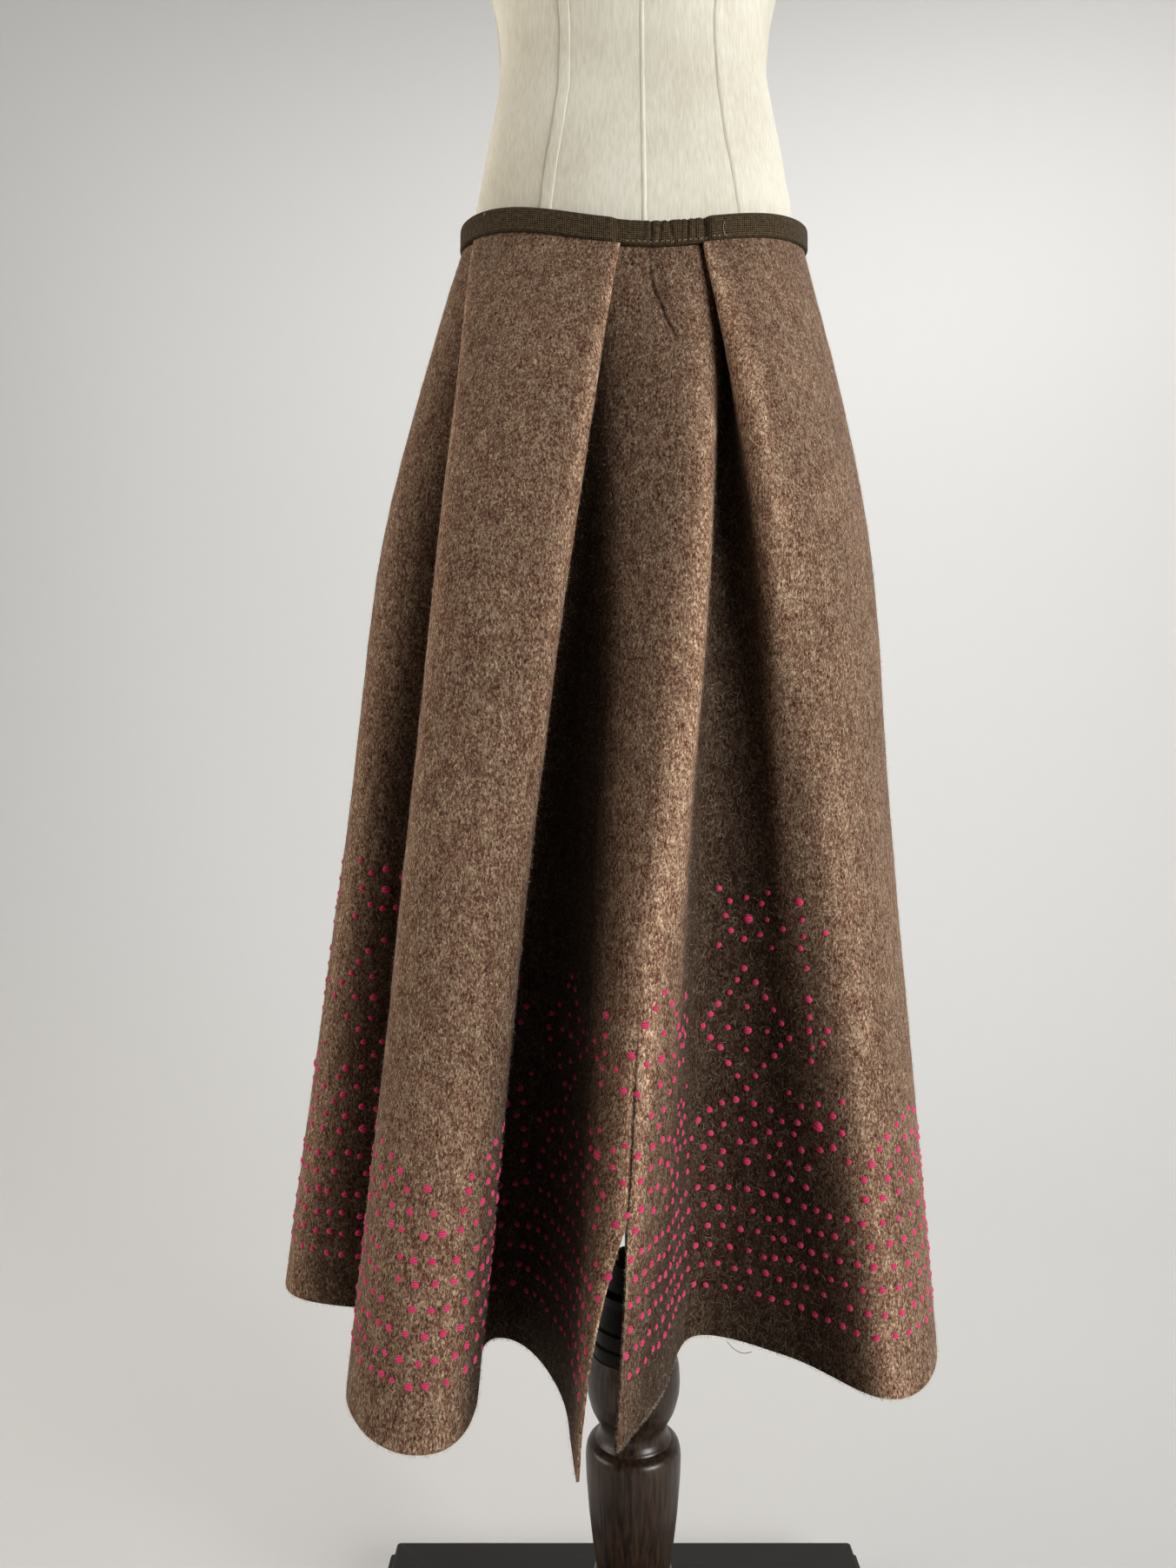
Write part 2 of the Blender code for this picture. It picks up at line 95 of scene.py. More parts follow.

# %% [markdown]
# ## Felted wool
#
# The cloth is wool that was carded in several shades, spun, woven and then
# fulled until its weave disappeared. The eye sees a marl: dark brown, taupe and
# pale hairs mixed at 1 to 2 mm, longer down the cloth than across it, with
# slow clouds some centimetres wide, some of them a little redder than others.
# Loose hair catches the light at grazing angles, which the sheen gives. Folds
# that stand out are painted paler, partly as wear and partly as a painted
# highlight. The sewn seam is a dark line, the pressed creases get painted shade,
# and cloth deep in a pleat gets painted shade too. Three attributes of the
# cloth's own mesh paint these: wear and highlight, seam and crease, fold shade.

# %% The wool's finish
FLECK = 1.3 * MM
CLUMP = 7 * MM
CLOUD = 55 * MM
HAIR_STRETCH = (1.0, 1.0, 0.5)

felt, tree, shader = new_material(
    "felted_wool_marl", 0.95, Sheen_Weight=0.22, Sheen_Roughness=0.4,
    Specular_IOR_Level=0.12)
place = add(tree, "ShaderNodeTexCoord")
hairs = add(tree, "ShaderNodeMapping", {0: place.outputs["Object"], 3: HAIR_STRETCH})
fleck = add(tree, "ShaderNodeTexNoise",
            {"Vector": hairs.outputs[0], "Scale": 1 / FLECK, "Detail": 3.0,
             "Roughness": 0.7, "Distortion": 0.8})
clump = add(tree, "ShaderNodeTexNoise",
            {"Vector": hairs.outputs[0], "Scale": 1 / CLUMP, "Detail": 2.0})
cloud = add(tree, "ShaderNodeTexNoise",
            {"Vector": place.outputs["Object"], "Scale": 1 / CLOUD, "Detail": 2.0})
dark_share = add(tree, "ShaderNodeMapRange",
                 {0: fleck.outputs[0], 1: 0.34, 2: 0.50, 3: 1.0, 4: 0.0})
pale_share = add(tree, "ShaderNodeMapRange",
                 {0: fleck.outputs[0], 1: 0.50, 2: 0.68, 3: 0.0, 4: 1.0})
dye_share = add(tree, "ShaderNodeMapRange", {0: clump.outputs[0], 1: 0.38, 2: 0.62})
ground = add(tree, "ShaderNodeMix",
             {0: dye_share.outputs[0], 6: linear("#765747"), 7: linear("#7A6553")},
             data_type="RGBA")
with_dark = add(tree, "ShaderNodeMix",
                {0: dark_share.outputs[0], 6: ground.outputs[2], 7: linear("#3E2D23")},
                data_type="RGBA")
with_pale = add(tree, "ShaderNodeMix",
                {0: pale_share.outputs[0], 6: with_dark.outputs[2],
                 7: linear("#BDA58D")},
                data_type="RGBA")
clump_tone = add(tree, "ShaderNodeMapRange",
                 {0: clump.outputs[0], 1: 0.3, 2: 0.7, 3: 0.82, 4: 1.16})
cloud_tone = add(tree, "ShaderNodeMapRange",
                 {0: cloud.outputs[0], 1: 0.3, 2: 0.7, 3: 0.92, 4: 1.08})
tone = add(tree, "ShaderNodeMath", {0: clump_tone.outputs[0], 1: cloud_tone.outputs[0]},
           operation="MULTIPLY")
toned = add(tree, "ShaderNodeVectorMath", {0: with_pale.outputs[2], 3: tone.outputs[0]},
            operation="SCALE")
# Wear and painted highlight: folds that turn outward are painted paler.
worn = add(tree, "ShaderNodeAttribute", attribute_name="worn")
paler = add(tree, "ShaderNodeMapRange", {0: worn.outputs["Fac"], 3: 1.0, 4: 2.1})
rubbed_and_lit = add(tree, "ShaderNodeVectorMath", {0: toned.outputs[0], 3: paler.outputs[0]},
             operation="SCALE")
# The seam's own dark line, and painted shade in the pressed creases.
sewn = add(tree, "ShaderNodeAttribute", attribute_name="sewn")
seam_and_crease_shaded = add(tree, "ShaderNodeMix",
             {0: sewn.outputs["Fac"], 6: rubbed_and_lit.outputs[0], 7: linear("#2A1F18")},
             data_type="RGBA")
# Painted shade: cloth deep in a pleat is painted darker in its base colour.
sunk = add(tree, "ShaderNodeAttribute", attribute_name="sunk")
fold_shade_tone = add(tree, "ShaderNodeMapRange", {0: sunk.outputs["Fac"], 3: 1.0, 4: 0.32})
shaded = add(tree, "ShaderNodeVectorMath",
             {0: seam_and_crease_shaded.outputs[2], 3: fold_shade_tone.outputs[0]}, operation="SCALE")
tree.links.new(shaded.outputs[0], shader.inputs["Base Color"])
nap = add(tree, "ShaderNodeBump",
          {"Strength": 0.6, "Distance": 0.6 * MM, "Height": fleck.outputs[0]})
lumps = add(tree, "ShaderNodeBump",
            {"Strength": 0.35, "Distance": 1.0 * MM, "Height": clump.outputs[0],
             "Normal": nap.outputs[0]})
tree.links.new(lumps.outputs[0], shader.inputs["Normal"])
shader.inputs["Sheen Tint"].default_value = linear("#D9CDBD")
print("felt flecks in mm:", FLECK / MM)

# %% [markdown]
# ## Tape, yarn, calico, wood and metal
#
# - **Linen tape** binds the waist. It is a plain weave of matte olive brown
#   yarn, and crossed bands stand for its threads.
# - **Tapestry yarn** makes the embroidery: soft pink wool in tight stitches, so
#   each dot shows a few strands with dark lines between them.
# - **Calico** is the unbleached cotton cover of the form, nearly white with a
#   faint upright thread.
# - **Stained beech** is turned for the post and planed for the base. The grain
#   runs up the post and along the boards, and wax makes it satin.
# - **Blackened steel** is the rod and its collar.

# %% Linen tape
WAVE_LENGTH = 0.314  # of a wave texture whose scale is 1, in metres
THREAD = 1.5 * MM
tape, tree, shader = new_material(
    "linen_tape_weave", 0.9, Sheen_Weight=0.05, Specular_IOR_Level=0.12)
cloth_map = add(tree, "ShaderNodeUVMap", uv_map="cloth")
warp = add(tree, "ShaderNodeTexWave",
           {"Vector": cloth_map.outputs[0], "Scale": WAVE_LENGTH / THREAD,
            "Distortion": 1.2, "Detail": 1.0}, bands_direction="X")
weft = add(tree, "ShaderNodeTexWave",
           {"Vector": cloth_map.outputs[0], "Scale": WAVE_LENGTH / THREAD,
            "Distortion": 1.2, "Detail": 1.0}, bands_direction="Y")
weave = add(tree, "ShaderNodeMath", {0: warp.outputs["Fac"], 1: weft.outputs["Fac"]},
            operation="MULTIPLY")
slub = add(tree, "ShaderNodeTexNoise",
           {"Vector": cloth_map.outputs[0], "Scale": 1 / (3 * MM), "Detail": 3.0})
mixed = add(tree, "ShaderNodeMath", {0: weave.outputs[0], 1: slub.outputs[0]},
            operation="ADD")
share = add(tree, "ShaderNodeMapRange", {0: mixed.outputs[0], 1: 0.45, 2: 1.1})
colour = add(tree, "ShaderNodeMix",
             {0: share.outputs[0], 6: linear("#251D14"), 7: linear("#6E5F4A")},
             data_type="RGBA")
tree.links.new(colour.outputs[2], shader.inputs["Base Color"])
threads = add(tree, "ShaderNodeBump",
              {"Strength": 0.5, "Distance": 0.3 * MM, "Height": mixed.outputs[0]})
tree.links.new(threads.outputs[0], shader.inputs["Normal"])
print("tape threads in mm:", THREAD / MM)

# %% Tapestry yarn
STRAND = 1.4 * MM
yarn, tree, shader = new_material(
    "tapestry_yarn_pink", 0.8, Sheen_Weight=0.5, Specular_IOR_Level=0.2)
dot_map = add(tree, "ShaderNodeUVMap", uv_map="cloth")
strands = add(tree, "ShaderNodeTexWave",
              {"Vector": dot_map.outputs[0], "Scale": WAVE_LENGTH / STRAND,
               "Distortion": 0.8}, bands_direction="X")
place = add(tree, "ShaderNodeTexCoord")
dye = add(tree, "ShaderNodeTexNoise",
          {"Vector": place.outputs["Object"], "Scale": 1 / (9 * MM), "Detail": 1.0})
colour = add(tree, "ShaderNodeMix",
             {0: dye.outputs[0], 6: linear("#DC3068"), 7: linear("#F25C8C")},
             data_type="RGBA")
shade = add(tree, "ShaderNodeMapRange", {0: strands.outputs["Fac"], 3: 0.62, 4: 1.08})
stranded = add(tree, "ShaderNodeVectorMath",
               {0: colour.outputs[2], 3: shade.outputs[0]}, operation="SCALE")
tree.links.new(stranded.outputs[0], shader.inputs["Base Color"])
twist = add(tree, "ShaderNodeBump",
            {"Strength": 0.6, "Distance": 0.4 * MM, "Height": strands.outputs["Fac"]})
tree.links.new(twist.outputs[0], shader.inputs["Normal"])
shader.inputs["Sheen Tint"].default_value = linear("#FFC4D8")
print("yarn strands in mm:", STRAND / MM)

# %% Calico
calico, tree, shader = new_material(
    "calico_cotton", 0.85, Sheen_Weight=0.1, Specular_IOR_Level=0.3)
place = add(tree, "ShaderNodeTexCoord")
upright = add(tree, "ShaderNodeMapping",
              {0: place.outputs["Object"], 3: (1.0, 1.0, 0.12)})
thread = add(tree, "ShaderNodeTexNoise",
             {"Vector": upright.outputs[0], "Scale": 1 / (1.6 * MM), "Detail": 2.0})
stain = add(tree, "ShaderNodeTexNoise",
            {"Vector": place.outputs["Object"], "Scale": 1 / (70 * MM), "Detail": 3.0})
mixed = add(tree, "ShaderNodeMath", {0: thread.outputs[0], 1: stain.outputs[0]},
            operation="ADD")
share = add(tree, "ShaderNodeMapRange", {0: mixed.outputs[0], 1: 0.7, 2: 1.25})
colour = add(tree, "ShaderNodeMix",
             {0: share.outputs[0], 6: linear("#D5CFBD"), 7: linear("#E9E5D6")},
             data_type="RGBA")
tree.links.new(colour.outputs[2], shader.inputs["Base Color"])
ribs = add(tree, "ShaderNodeBump",
           {"Strength": 0.35, "Distance": 0.2 * MM, "Height": thread.outputs[0]})
tree.links.new(ribs.outputs[0], shader.inputs["Normal"])
print("calico ready")

# %% Stained beech, for the post with its grain upright and for the boards


def stained_beech(name, stretch, dark, pale, roughness, coat):
    """Waxed and stained wood whose grain is long in the direction of least stretch."""
    made, tree, shader = new_material(
        name, roughness, Coat_Weight=coat, Coat_Roughness=0.25)
    place = add(tree, "ShaderNodeTexCoord")
    along = add(tree, "ShaderNodeMapping", {0: place.outputs["Object"], 3: stretch})
    grain = add(tree, "ShaderNodeTexNoise",
                {"Vector": along.outputs[0], "Scale": 1 / (3 * MM), "Detail": 5.0,
                 "Roughness": 0.65, "Distortion": 0.4})
    share = add(tree, "ShaderNodeMapRange", {0: grain.outputs[0], 1: 0.35, 2: 0.68})
    colour = add(tree, "ShaderNodeMix",
                 {0: share.outputs[0], 6: linear(dark), 7: linear(pale)},
                 data_type="RGBA")
    tree.links.new(colour.outputs[2], shader.inputs["Base Color"])
    polish = add(tree, "ShaderNodeMapRange",
                 {0: grain.outputs[0], 3: roughness - 0.06, 4: roughness + 0.12})
    tree.links.new(polish.outputs[0], shader.inputs["Roughness"])
    pores = add(tree, "ShaderNodeBump",
                {"Strength": 0.25, "Distance": 0.3 * MM, "Height": grain.outputs[0]})
    tree.links.new(pores.outputs[0], shader.inputs["Normal"])
    return made


post_wood = stained_beech(
    "stained_beech_turned", (1.0, 1.0, 0.06), "#1A110C", "#4C392B", 0.36, 0.25)
board_wood = stained_beech(
    "stained_beech_planed", (0.05, 1.0, 1.0), "#0C0A08", "#201A15", 0.6, 0.05)
print("wood ready")

# %% Blackened steel
steel, tree, shader = new_material("blackened_steel", 0.38, Metallic=0.8)
place = add(tree, "ShaderNodeTexCoord")
scuff = add(tree, "ShaderNodeTexNoise",
            {"Vector": place.outputs["Object"], "Scale": 1 / (8 * MM), "Detail": 4.0})
colour = add(tree, "ShaderNodeMix",
             {0: scuff.outputs[0], 6: linear("#171717"), 7: linear("#2E2D2C")},
             data_type="RGBA")
tree.links.new(colour.outputs[2], shader.inputs["Base Color"])
rub = add(tree, "ShaderNodeMapRange", {0: scuff.outputs[0], 3: 0.28, 4: 0.5})
tree.links.new(rub.outputs[0], shader.inputs["Roughness"])
print("steel ready")

# %% [markdown]
# ## How the skirt folds
#
# A real pleat is cloth that runs in, turns and runs out again, so a skirt is
# best described by its fold lines. Each row of these tables is one line down the
# cloth: where it starts under the waistband, and where it passes at hip, knee
# and hem. Between the four levels a Hermite curve joins the places, and at each
# height a cubic B-spline runs round through all the lines. The same rule made
# the CAD solid, so the fine cloth lies exactly in its place.

# %% Sizes of the cloth and the waist
CLOTH_WALL = 1.8 * MM
PRESSED_WALL = 1.2 * MM
TURN_KEEP = 0.6
LAYER_STEP = 3.0 * MM
WAIST_HALF_WIDTH, WAIST_FRONT_DEPTH, WAIST_BACK_DEPTH = 0.1405, 0.1050, 0.1005
HIP_HEIGHT, KNEE_HEIGHT, BACK_HEM_HEIGHT = 1.05, 0.80, 0.434
BAND_SIDE_HEIGHT, BAND_TALL, UNDER_BAND = 1.285, 0.019, 0.3 * MM
BAND_TILT, BAND_BOW, BAND_ROLL = 0.018, 0.008, 0.0045
BAND_DIP, BAND_DIP_POWER = 0.0145, 6
LEVEL_SHARES = (0.0, 0.25, 0.55, 1.0)
SLIT_SHARE, SLIT_CURL = 0.842, 2.5
SEAM_HEM = (-0.0215, -0.2200, 0.410)

FRONT_RIGHT_FOLDS = (
    # waist angle, layer, hip x, hip y, knee x, knee y, hem x, hem y, hem z
    (2.2, 2.0, 0.0048, -0.135, 0.0016, -0.166, -0.0208, -0.218, 0.411),
    (8.0, 2.0, 0.027, -0.142, 0.018, -0.171, -0.003, -0.186, 0.412),
    (15.0, 2.0, 0.050, -0.141, 0.033, -0.160, 0.015, -0.150, 0.412),
    (26.0, 2.2, 0.053, -0.121, 0.034, -0.137, 0.025, -0.112, 0.413),
    (34.5, 2.4, 0.054, -0.104, 0.041, -0.103, 0.036, -0.080, 0.415),
    (34.5, 1.3, 0.070, -0.106, 0.064, -0.098, 0.062, -0.080, 0.415),
    (22.0, 1.7, 0.075, -0.118, 0.090, -0.108, 0.094, -0.096, 0.413),
    (18.6, 0.6, 0.0745, -0.136, 0.096, -0.122, 0.124, -0.116, 0.412),
    (25.0, 0.0, 0.090, -0.148, 0.114, -0.131, 0.147, -0.146, 0.411),
    (42.0, 0.0, 0.120, -0.130, 0.146, -0.133, 0.169, -0.166, 0.411),
    (58.0, 0.0, 0.156, -0.092, 0.180, -0.092, 0.202, -0.146, 0.412),
    (74.0, 0.0, 0.183, -0.040, 0.203, -0.044, 0.221, -0.098, 0.418),
    (85.0, 0.0, 0.187, 0.000, 0.208, 0.000, 0.227, -0.036, 0.424),
    (96.0, 0.0, 0.184, 0.036, 0.204, 0.036, 0.227, 0.026, 0.430),
)
FRONT_LEFT_FOLDS = (
    # waist angle, layer, hip x, hip y, knee x, knee y, hem x, hem y, hem z
    (-96.0, 0.0, -0.184, 0.034, -0.214, 0.034, -0.262, 0.034, 0.436),
    (-86.0, -0.4, -0.200, -0.010, -0.232, -0.014, -0.283, -0.014, 0.434),
    (-76.0, 0.2, -0.192, -0.052, -0.224, -0.062, -0.272, -0.064, 0.434),
    (-63.0, 1.8, -0.160, -0.074, -0.194, -0.074, -0.222, -0.076, 0.434),
    (-51.0, 2.0, -0.132, -0.074, -0.160, -0.064, -0.178, -0.068, 0.428),
    (-51.0, 1.0, -0.124, -0.084, -0.146, -0.078, -0.158, -0.086, 0.424),
    (-60.0, 1.0, -0.138, -0.096, -0.164, -0.106, -0.200, -0.122, 0.418),
    (-68.0, 0.5, -0.1425, -0.108, -0.1665, -0.128, -0.206, -0.156, 0.414),
    (-64.0, 0.0, -0.136, -0.126, -0.158, -0.148, -0.188, -0.196, 0.412),
    (-46.0, 0.0, -0.106, -0.144, -0.134, -0.164, -0.157, -0.222, 0.410),
    (-26.0, 0.0, -0.070, -0.146, -0.102, -0.166, -0.124, -0.220, 0.410),
    (-9.5, 0.0, -0.044, -0.140, -0.0765, -0.152, -0.112, -0.184, 0.412),
    (-4.2, 0.25, -0.039, -0.128, -0.0740, -0.132, -0.1125, -0.150, 0.412),
    (-8.0, 1.0, -0.052, -0.112, -0.082, -0.106, -0.119, -0.112, 0.413),
    (-20.5, 1.0, -0.068, -0.104, -0.088, -0.080, -0.114, -0.078, 0.414),
    (-20.5, 2.0, -0.058, -0.097, -0.066, -0.074, -0.088, -0.084, 0.414),
    (-14.0, 2.0, -0.038, -0.104, -0.044, -0.096, -0.066, -0.122, 0.413),
    (-8.0, 2.0, -0.026, -0.121, -0.032, -0.132, -0.050, -0.166, 0.412),
    (-3.0, 2.0, -0.013, -0.130, -0.018, -0.156, -0.047, -0.206, 0.410),
    (2.2, 2.0, 0.0048, -0.135, 0.0016, -0.166, -0.0435, -0.243, 0.408),
)
BACK_FOLDS = 5
BACK_LEVELS = (
    # half width, half depth, shift in x, depth of a fold
    (0.180, 0.146, -0.003, 0.005),
    (0.209, 0.180, -0.005, 0.016),
    (0.252, 0.228, -0.010, 0.036),
)
print("fold lines in front:", len(FRONT_RIGHT_FOLDS) + len(FRONT_LEFT_FOLDS))

# %% Where the waistband's edge runs


def band_top(angle):
    """Height of the band's upper edge, at an angle from the front in radians."""
    forward = np.cos(angle)
    ahead = np.maximum(0.0, forward)
    slope = BAND_TILT * forward + BAND_BOW * forward**2
    dip = BAND_DIP * ahead**BAND_DIP_POWER
    roll = BAND_ROLL * np.sin(angle) * ahead
    return BAND_SIDE_HEIGHT - slope - dip - roll


def band_top_over(x, y):
    """Height of the band's upper edge over points of the plan."""
    depth = np.where(y < 0.0, WAIST_FRONT_DEPTH, WAIST_BACK_DEPTH)
    return band_top(np.arctan2(x / WAIST_HALF_WIDTH, -y / depth))


def waist_place(degrees, inward):
    """A point just under the band, a distance inside the outermost layer."""
    angle = math.radians(degrees)
    forward = math.cos(angle)
    depth = WAIST_FRONT_DEPTH if forward > 0.0 else WAIST_BACK_DEPTH
    return (
        (WAIST_HALF_WIDTH - inward) * math.sin(angle),
        -(depth - inward) * forward,
        band_top(angle) - BAND_TALL - UNDER_BAND,
    )


print("front of the band's edge at", round(float(band_top(0.0)), 4))

# %% [markdown]
# The back is never seen in the photograph. A flared back panel falls in soft,
# even folds, so its lines are worked out from a rule: ridges and hollows in
# turn, round an oval that grows from hip to hem.

# %% All fold lines as one array, four levels for each


def back_lines():
    """Waist angle, layer and level places of each fold line of the back."""
    start = FRONT_RIGHT_FOLDS[-1][0]
    sweep = 360.0 + FRONT_LEFT_FOLDS[0][0] - start
    rows = []
    for k in range(1, 2 * BACK_FOLDS):
        degrees = start + sweep * k / (2 * BACK_FOLDS)
        angle = math.radians(degrees)
        wave = 1.0 if k % 2 else -1.0
        places = []
        for half_width, half_depth, shift, fold in BACK_LEVELS:
            reach = 1.0 / math.hypot(math.sin(angle) / half_width,
                                     math.cos(angle) / half_depth)
            reach += fold * wave
            places += [shift + reach * math.sin(angle), -reach * math.cos(angle)]
        rows.append((degrees, 0.0, *places, BACK_HEM_HEIGHT))
    return rows


def level_points(row):
    """The four places of a fold line: waist, hip, knee and hem."""
    degrees, layer, hip_x, hip_y, knee_x, knee_y, hem_x, hem_y, hem_z = row
    return (waist_place(degrees, layer * LAYER_STEP), (hip_x, hip_y, HIP_HEIGHT),
            (knee_x, knee_y, KNEE_HEIGHT), (hem_x, hem_y, hem_z))


FOLD_ROWS = [*FRONT_RIGHT_FOLDS, *back_lines(), *FRONT_LEFT_FOLDS]
FOLD_POINTS = np.array([level_points(row) for row in FOLD_ROWS])
SEAM_POINTS = np.array([level_points((*FRONT_RIGHT_FOLDS[0][:6], *SEAM_HEM))])
RIGHT_END = len(FRONT_RIGHT_FOLDS) - 1
LEFT_START = RIGHT_END + 2 * BACK_FOLDS
ALL_ROUND = len(FOLD_ROWS) - 1
print("fold lines all round:", len(FOLD_ROWS))

# %% Curves down the cloth and round it


def down_the_cloth(points, share):
    """Each line's place at a share of the way down, by a cubic Hermite curve."""
    spans = np.diff(LEVEL_SHARES)
    slopes = (points[:, 1:] - points[:, :-1]) / spans[None, :, None]
    hip = (slopes[:, 0] * spans[1] + slopes[:, 1] * spans[0]) / (spans[0] + spans[1])
    knee = (slopes[:, 1] * spans[2] + slopes[:, 2] * spans[1]) / (spans[1] + spans[2])
    ends = np.stack([1.5 * slopes[:, 0] - 0.5 * hip, hip, knee,
                     1.5 * slopes[:, 2] - 0.5 * knee], axis=1)
    level = min(2, max(0, int(np.searchsorted(LEVEL_SHARES, share, side="right")) - 1))
    q = (share - LEVEL_SHARES[level]) / spans[level]
    return (
        (2 * q**3 - 3 * q**2 + 1) * points[:, level]
        + (q**3 - 2 * q**2 + q) * spans[level] * ends[:, level]
        + (3 * q**2 - 2 * q**3) * points[:, level + 1]
        + (q**3 - q**2) * spans[level] * ends[:, level + 1]
    )


def round_the_cloth(share):
    """The control points of one section, open at the slit and closed above it."""
    controls = down_the_cloth(FOLD_POINTS, share)
    seam = down_the_cloth(SEAM_POINTS, share)[0]
    below = max(0.0, (share - SLIT_SHARE) / (1.0 - SLIT_SHARE))
    gape = 1.0 - (1.0 - below) ** SLIT_CURL
    hem = np.array(SEAM_HEM)
    right = seam + (FOLD_POINTS[0, 3] - hem) * gape
    left = seam + (FOLD_POINTS[-1, 3] - hem) * gape
    before = controls[-2] + (2.0 * right - controls[1] - controls[-2]) * gape
    after = controls[1] + (2.0 * left - controls[-2] - controls[1]) * gape
    controls[0] = (6.0 * right - before - controls[1]) / 4.0
    controls[-1] = (6.0 * left - after - controls[-2]) / 4.0
    return np.vstack([before, controls, after])


def on_spline(controls, places):
    """Points, directions and signed curvature of the B-spline at many places."""
    span = np.minimum(places.astype(int), len(controls) - 4)
    t = (places - span)[:, None]
    a, b, c, d = (controls[span + k] for k in range(4))
    point = (a * (1 - t) ** 3 + b * (3 * t**3 - 6 * t**2 + 4)
             + c * (-3 * t**3 + 3 * t**2 + 3 * t + 1) + d * t**3) / 6.0
    along = (-a * (1 - t) ** 2 + b * (3 * t**2 - 4 * t)
             + c * (-3 * t**2 + 2 * t + 1) + d * t**2) / 2.0
    bend = a * (1 - t) + b * (3 * t - 2) + c * (1 - 3 * t) + d * t
    turning = along[:, 0] * bend[:, 1] - along[:, 1] * bend[:, 0]
    curvature = turning / np.maximum(np.hypot(along[:, 0], along[:, 1]) ** 3, 1e-12)
    return point, along, curvature


print("section at the hem starts at", round_the_cloth(1.0)[1].round(3))

# %% [markdown]
# ## The cloth as a fine grid
#
# Both walls of the cloth come from one grid of points. Columns follow the fold
# lines, and are closer together on the centre ridge, where small creases need
# them. Rows lie 3 to 6 mm apart, closest above the hip. Thick felt isn't
# perfectly smooth, so slow noise moves it by a millimetre, and a few marks that
# the photograph shows are pressed in: the curved crease below the waistband, its
# fainter neighbours, the small kink of the centre ridge and the dip where the
# centre seam is sewn.

# %% The grid's rows and columns
STEPS, RIDGE_STEPS, RIDGE_FOLDS = 11, 30, 2
ROWS_TO_HIP, ROWS_TO_SLIT, ROWS_BELOW = 64, 92, 26
HIP_SHARE = LEVEL_SHARES[1]
shares = np.concatenate([
    np.linspace(0.0, HIP_SHARE, ROWS_TO_HIP, endpoint=False),
    np.linspace(HIP_SHARE, SLIT_SHARE, ROWS_TO_SLIT, endpoint=False),
    np.linspace(SLIT_SHARE, 1.0, ROWS_BELOW + 1)])
places = np.concatenate([
    np.linspace(0.0, RIDGE_FOLDS, RIDGE_FOLDS * RIDGE_STEPS, endpoint=False),
    np.linspace(RIDGE_FOLDS, ALL_ROUND, (ALL_ROUND - RIDGE_FOLDS) * STEPS + 1)])
FOLD_COLUMN = [int(np.argmin(np.abs(places - fold))) for fold in range(ALL_ROUND + 1)]
samples = [on_spline(round_the_cloth(share), places) for share in shares]
cloth = np.array([s[0] for s in samples])
along = np.array([s[1] for s in samples])
along /= np.linalg.norm(along, axis=2, keepdims=True)
bending = np.array([s[2] for s in samples])
out = np.stack([along[..., 1], -along[..., 0], np.zeros(along.shape[:2])], axis=2)
out /= np.linalg.norm(out, axis=2, keepdims=True)
steps_round = np.linalg.norm(np.diff(cloth, axis=1), axis=2)
arc = np.concatenate([np.zeros((len(shares), 1)), np.cumsum(steps_round, axis=1)], axis=1)
steps_down = np.linalg.norm(np.diff(cloth, axis=0), axis=2)
drop = np.concatenate([np.zeros((1, len(places))), np.cumsum(steps_down, axis=0)])
to_hem = drop[-1][None, :] - drop
print("grid", cloth.shape, "round the hem", arc[-1, -1].round(3),
      "length", drop[-1].mean().round(3))

# %% Marks pressed into the cloth
CREASES = (
    # depth, half width, painted shade, then the places it runs through as x and z
    (1.7 * MM, 1.3 * MM, 0.75, ((0.0075, 1.2256), (0.0090, 1.2020), (0.0114, 1.1892),
                                (0.0156, 1.1791), (0.0191, 1.1671), (0.0227, 1.1594),
                                (0.0256, 1.1524), (0.0283, 1.1479))),
    (1.6 * MM, 4.2 * MM, 0.35, ((0.0114, 1.2259), (0.0131, 1.2100), (0.0153, 1.2002),
                                (0.0172, 1.1880), (0.0190, 1.1760))),
    (0.5 * MM, 1.8 * MM, 0.0, ((0.0240, 1.2260), (0.0250, 1.2110), (0.0246, 1.1980))),
    (0.5 * MM, 2.0 * MM, 0.0, ((0.0330, 1.2250), (0.0350, 1.2070), (0.0350, 1.1900))),
)
CREASE_STARTS = 0.15


def pressed_marks(x, z):
    """How far the marks sink at points of the centre ridge, and their painted shade."""
    depth, dark = np.zeros_like(x), np.zeros_like(x)
    for deep, half, darkness, path in CREASES:
        nearest = np.full_like(x, 1.0)
        fade = np.zeros_like(x)
        count = len(path) - 1
        for k, ((x0, z0), (x1, z1)) in enumerate(zip(path, path[1:])):
            run = ((x - x0) * (x1 - x0) + (z - z0) * (z1 - z0))
            run = np.clip(run / ((x1 - x0) ** 2 + (z1 - z0) ** 2), 0.0, 1.0)
            away = np.hypot(x - x0 - run * (x1 - x0), z - z0 - run * (z1 - z0))
            closer = away < nearest
            nearest = np.where(closer, away, nearest)
            fade = np.where(closer, (k + run) / count, fade)
        swell = np.clip(CREASE_STARTS + (1.0 - CREASE_STARTS) * fade, 0.0, 1.0)
        strong = np.exp(-(nearest / half) ** 2) * np.sin(math.pi * swell) ** 0.5
        depth += deep * strong
        dark = np.maximum(dark, darkness * strong)
    return depth, dark


def slow_noise(points, size, seed):
    """Smooth noise from -1 to 1 over points, with bumps of a size in metres."""
    flat = points.reshape(-1, 3) / size + seed
    values = [noise.noise(p) for p in flat]
    return np.array(values).reshape(points.shape[:2])


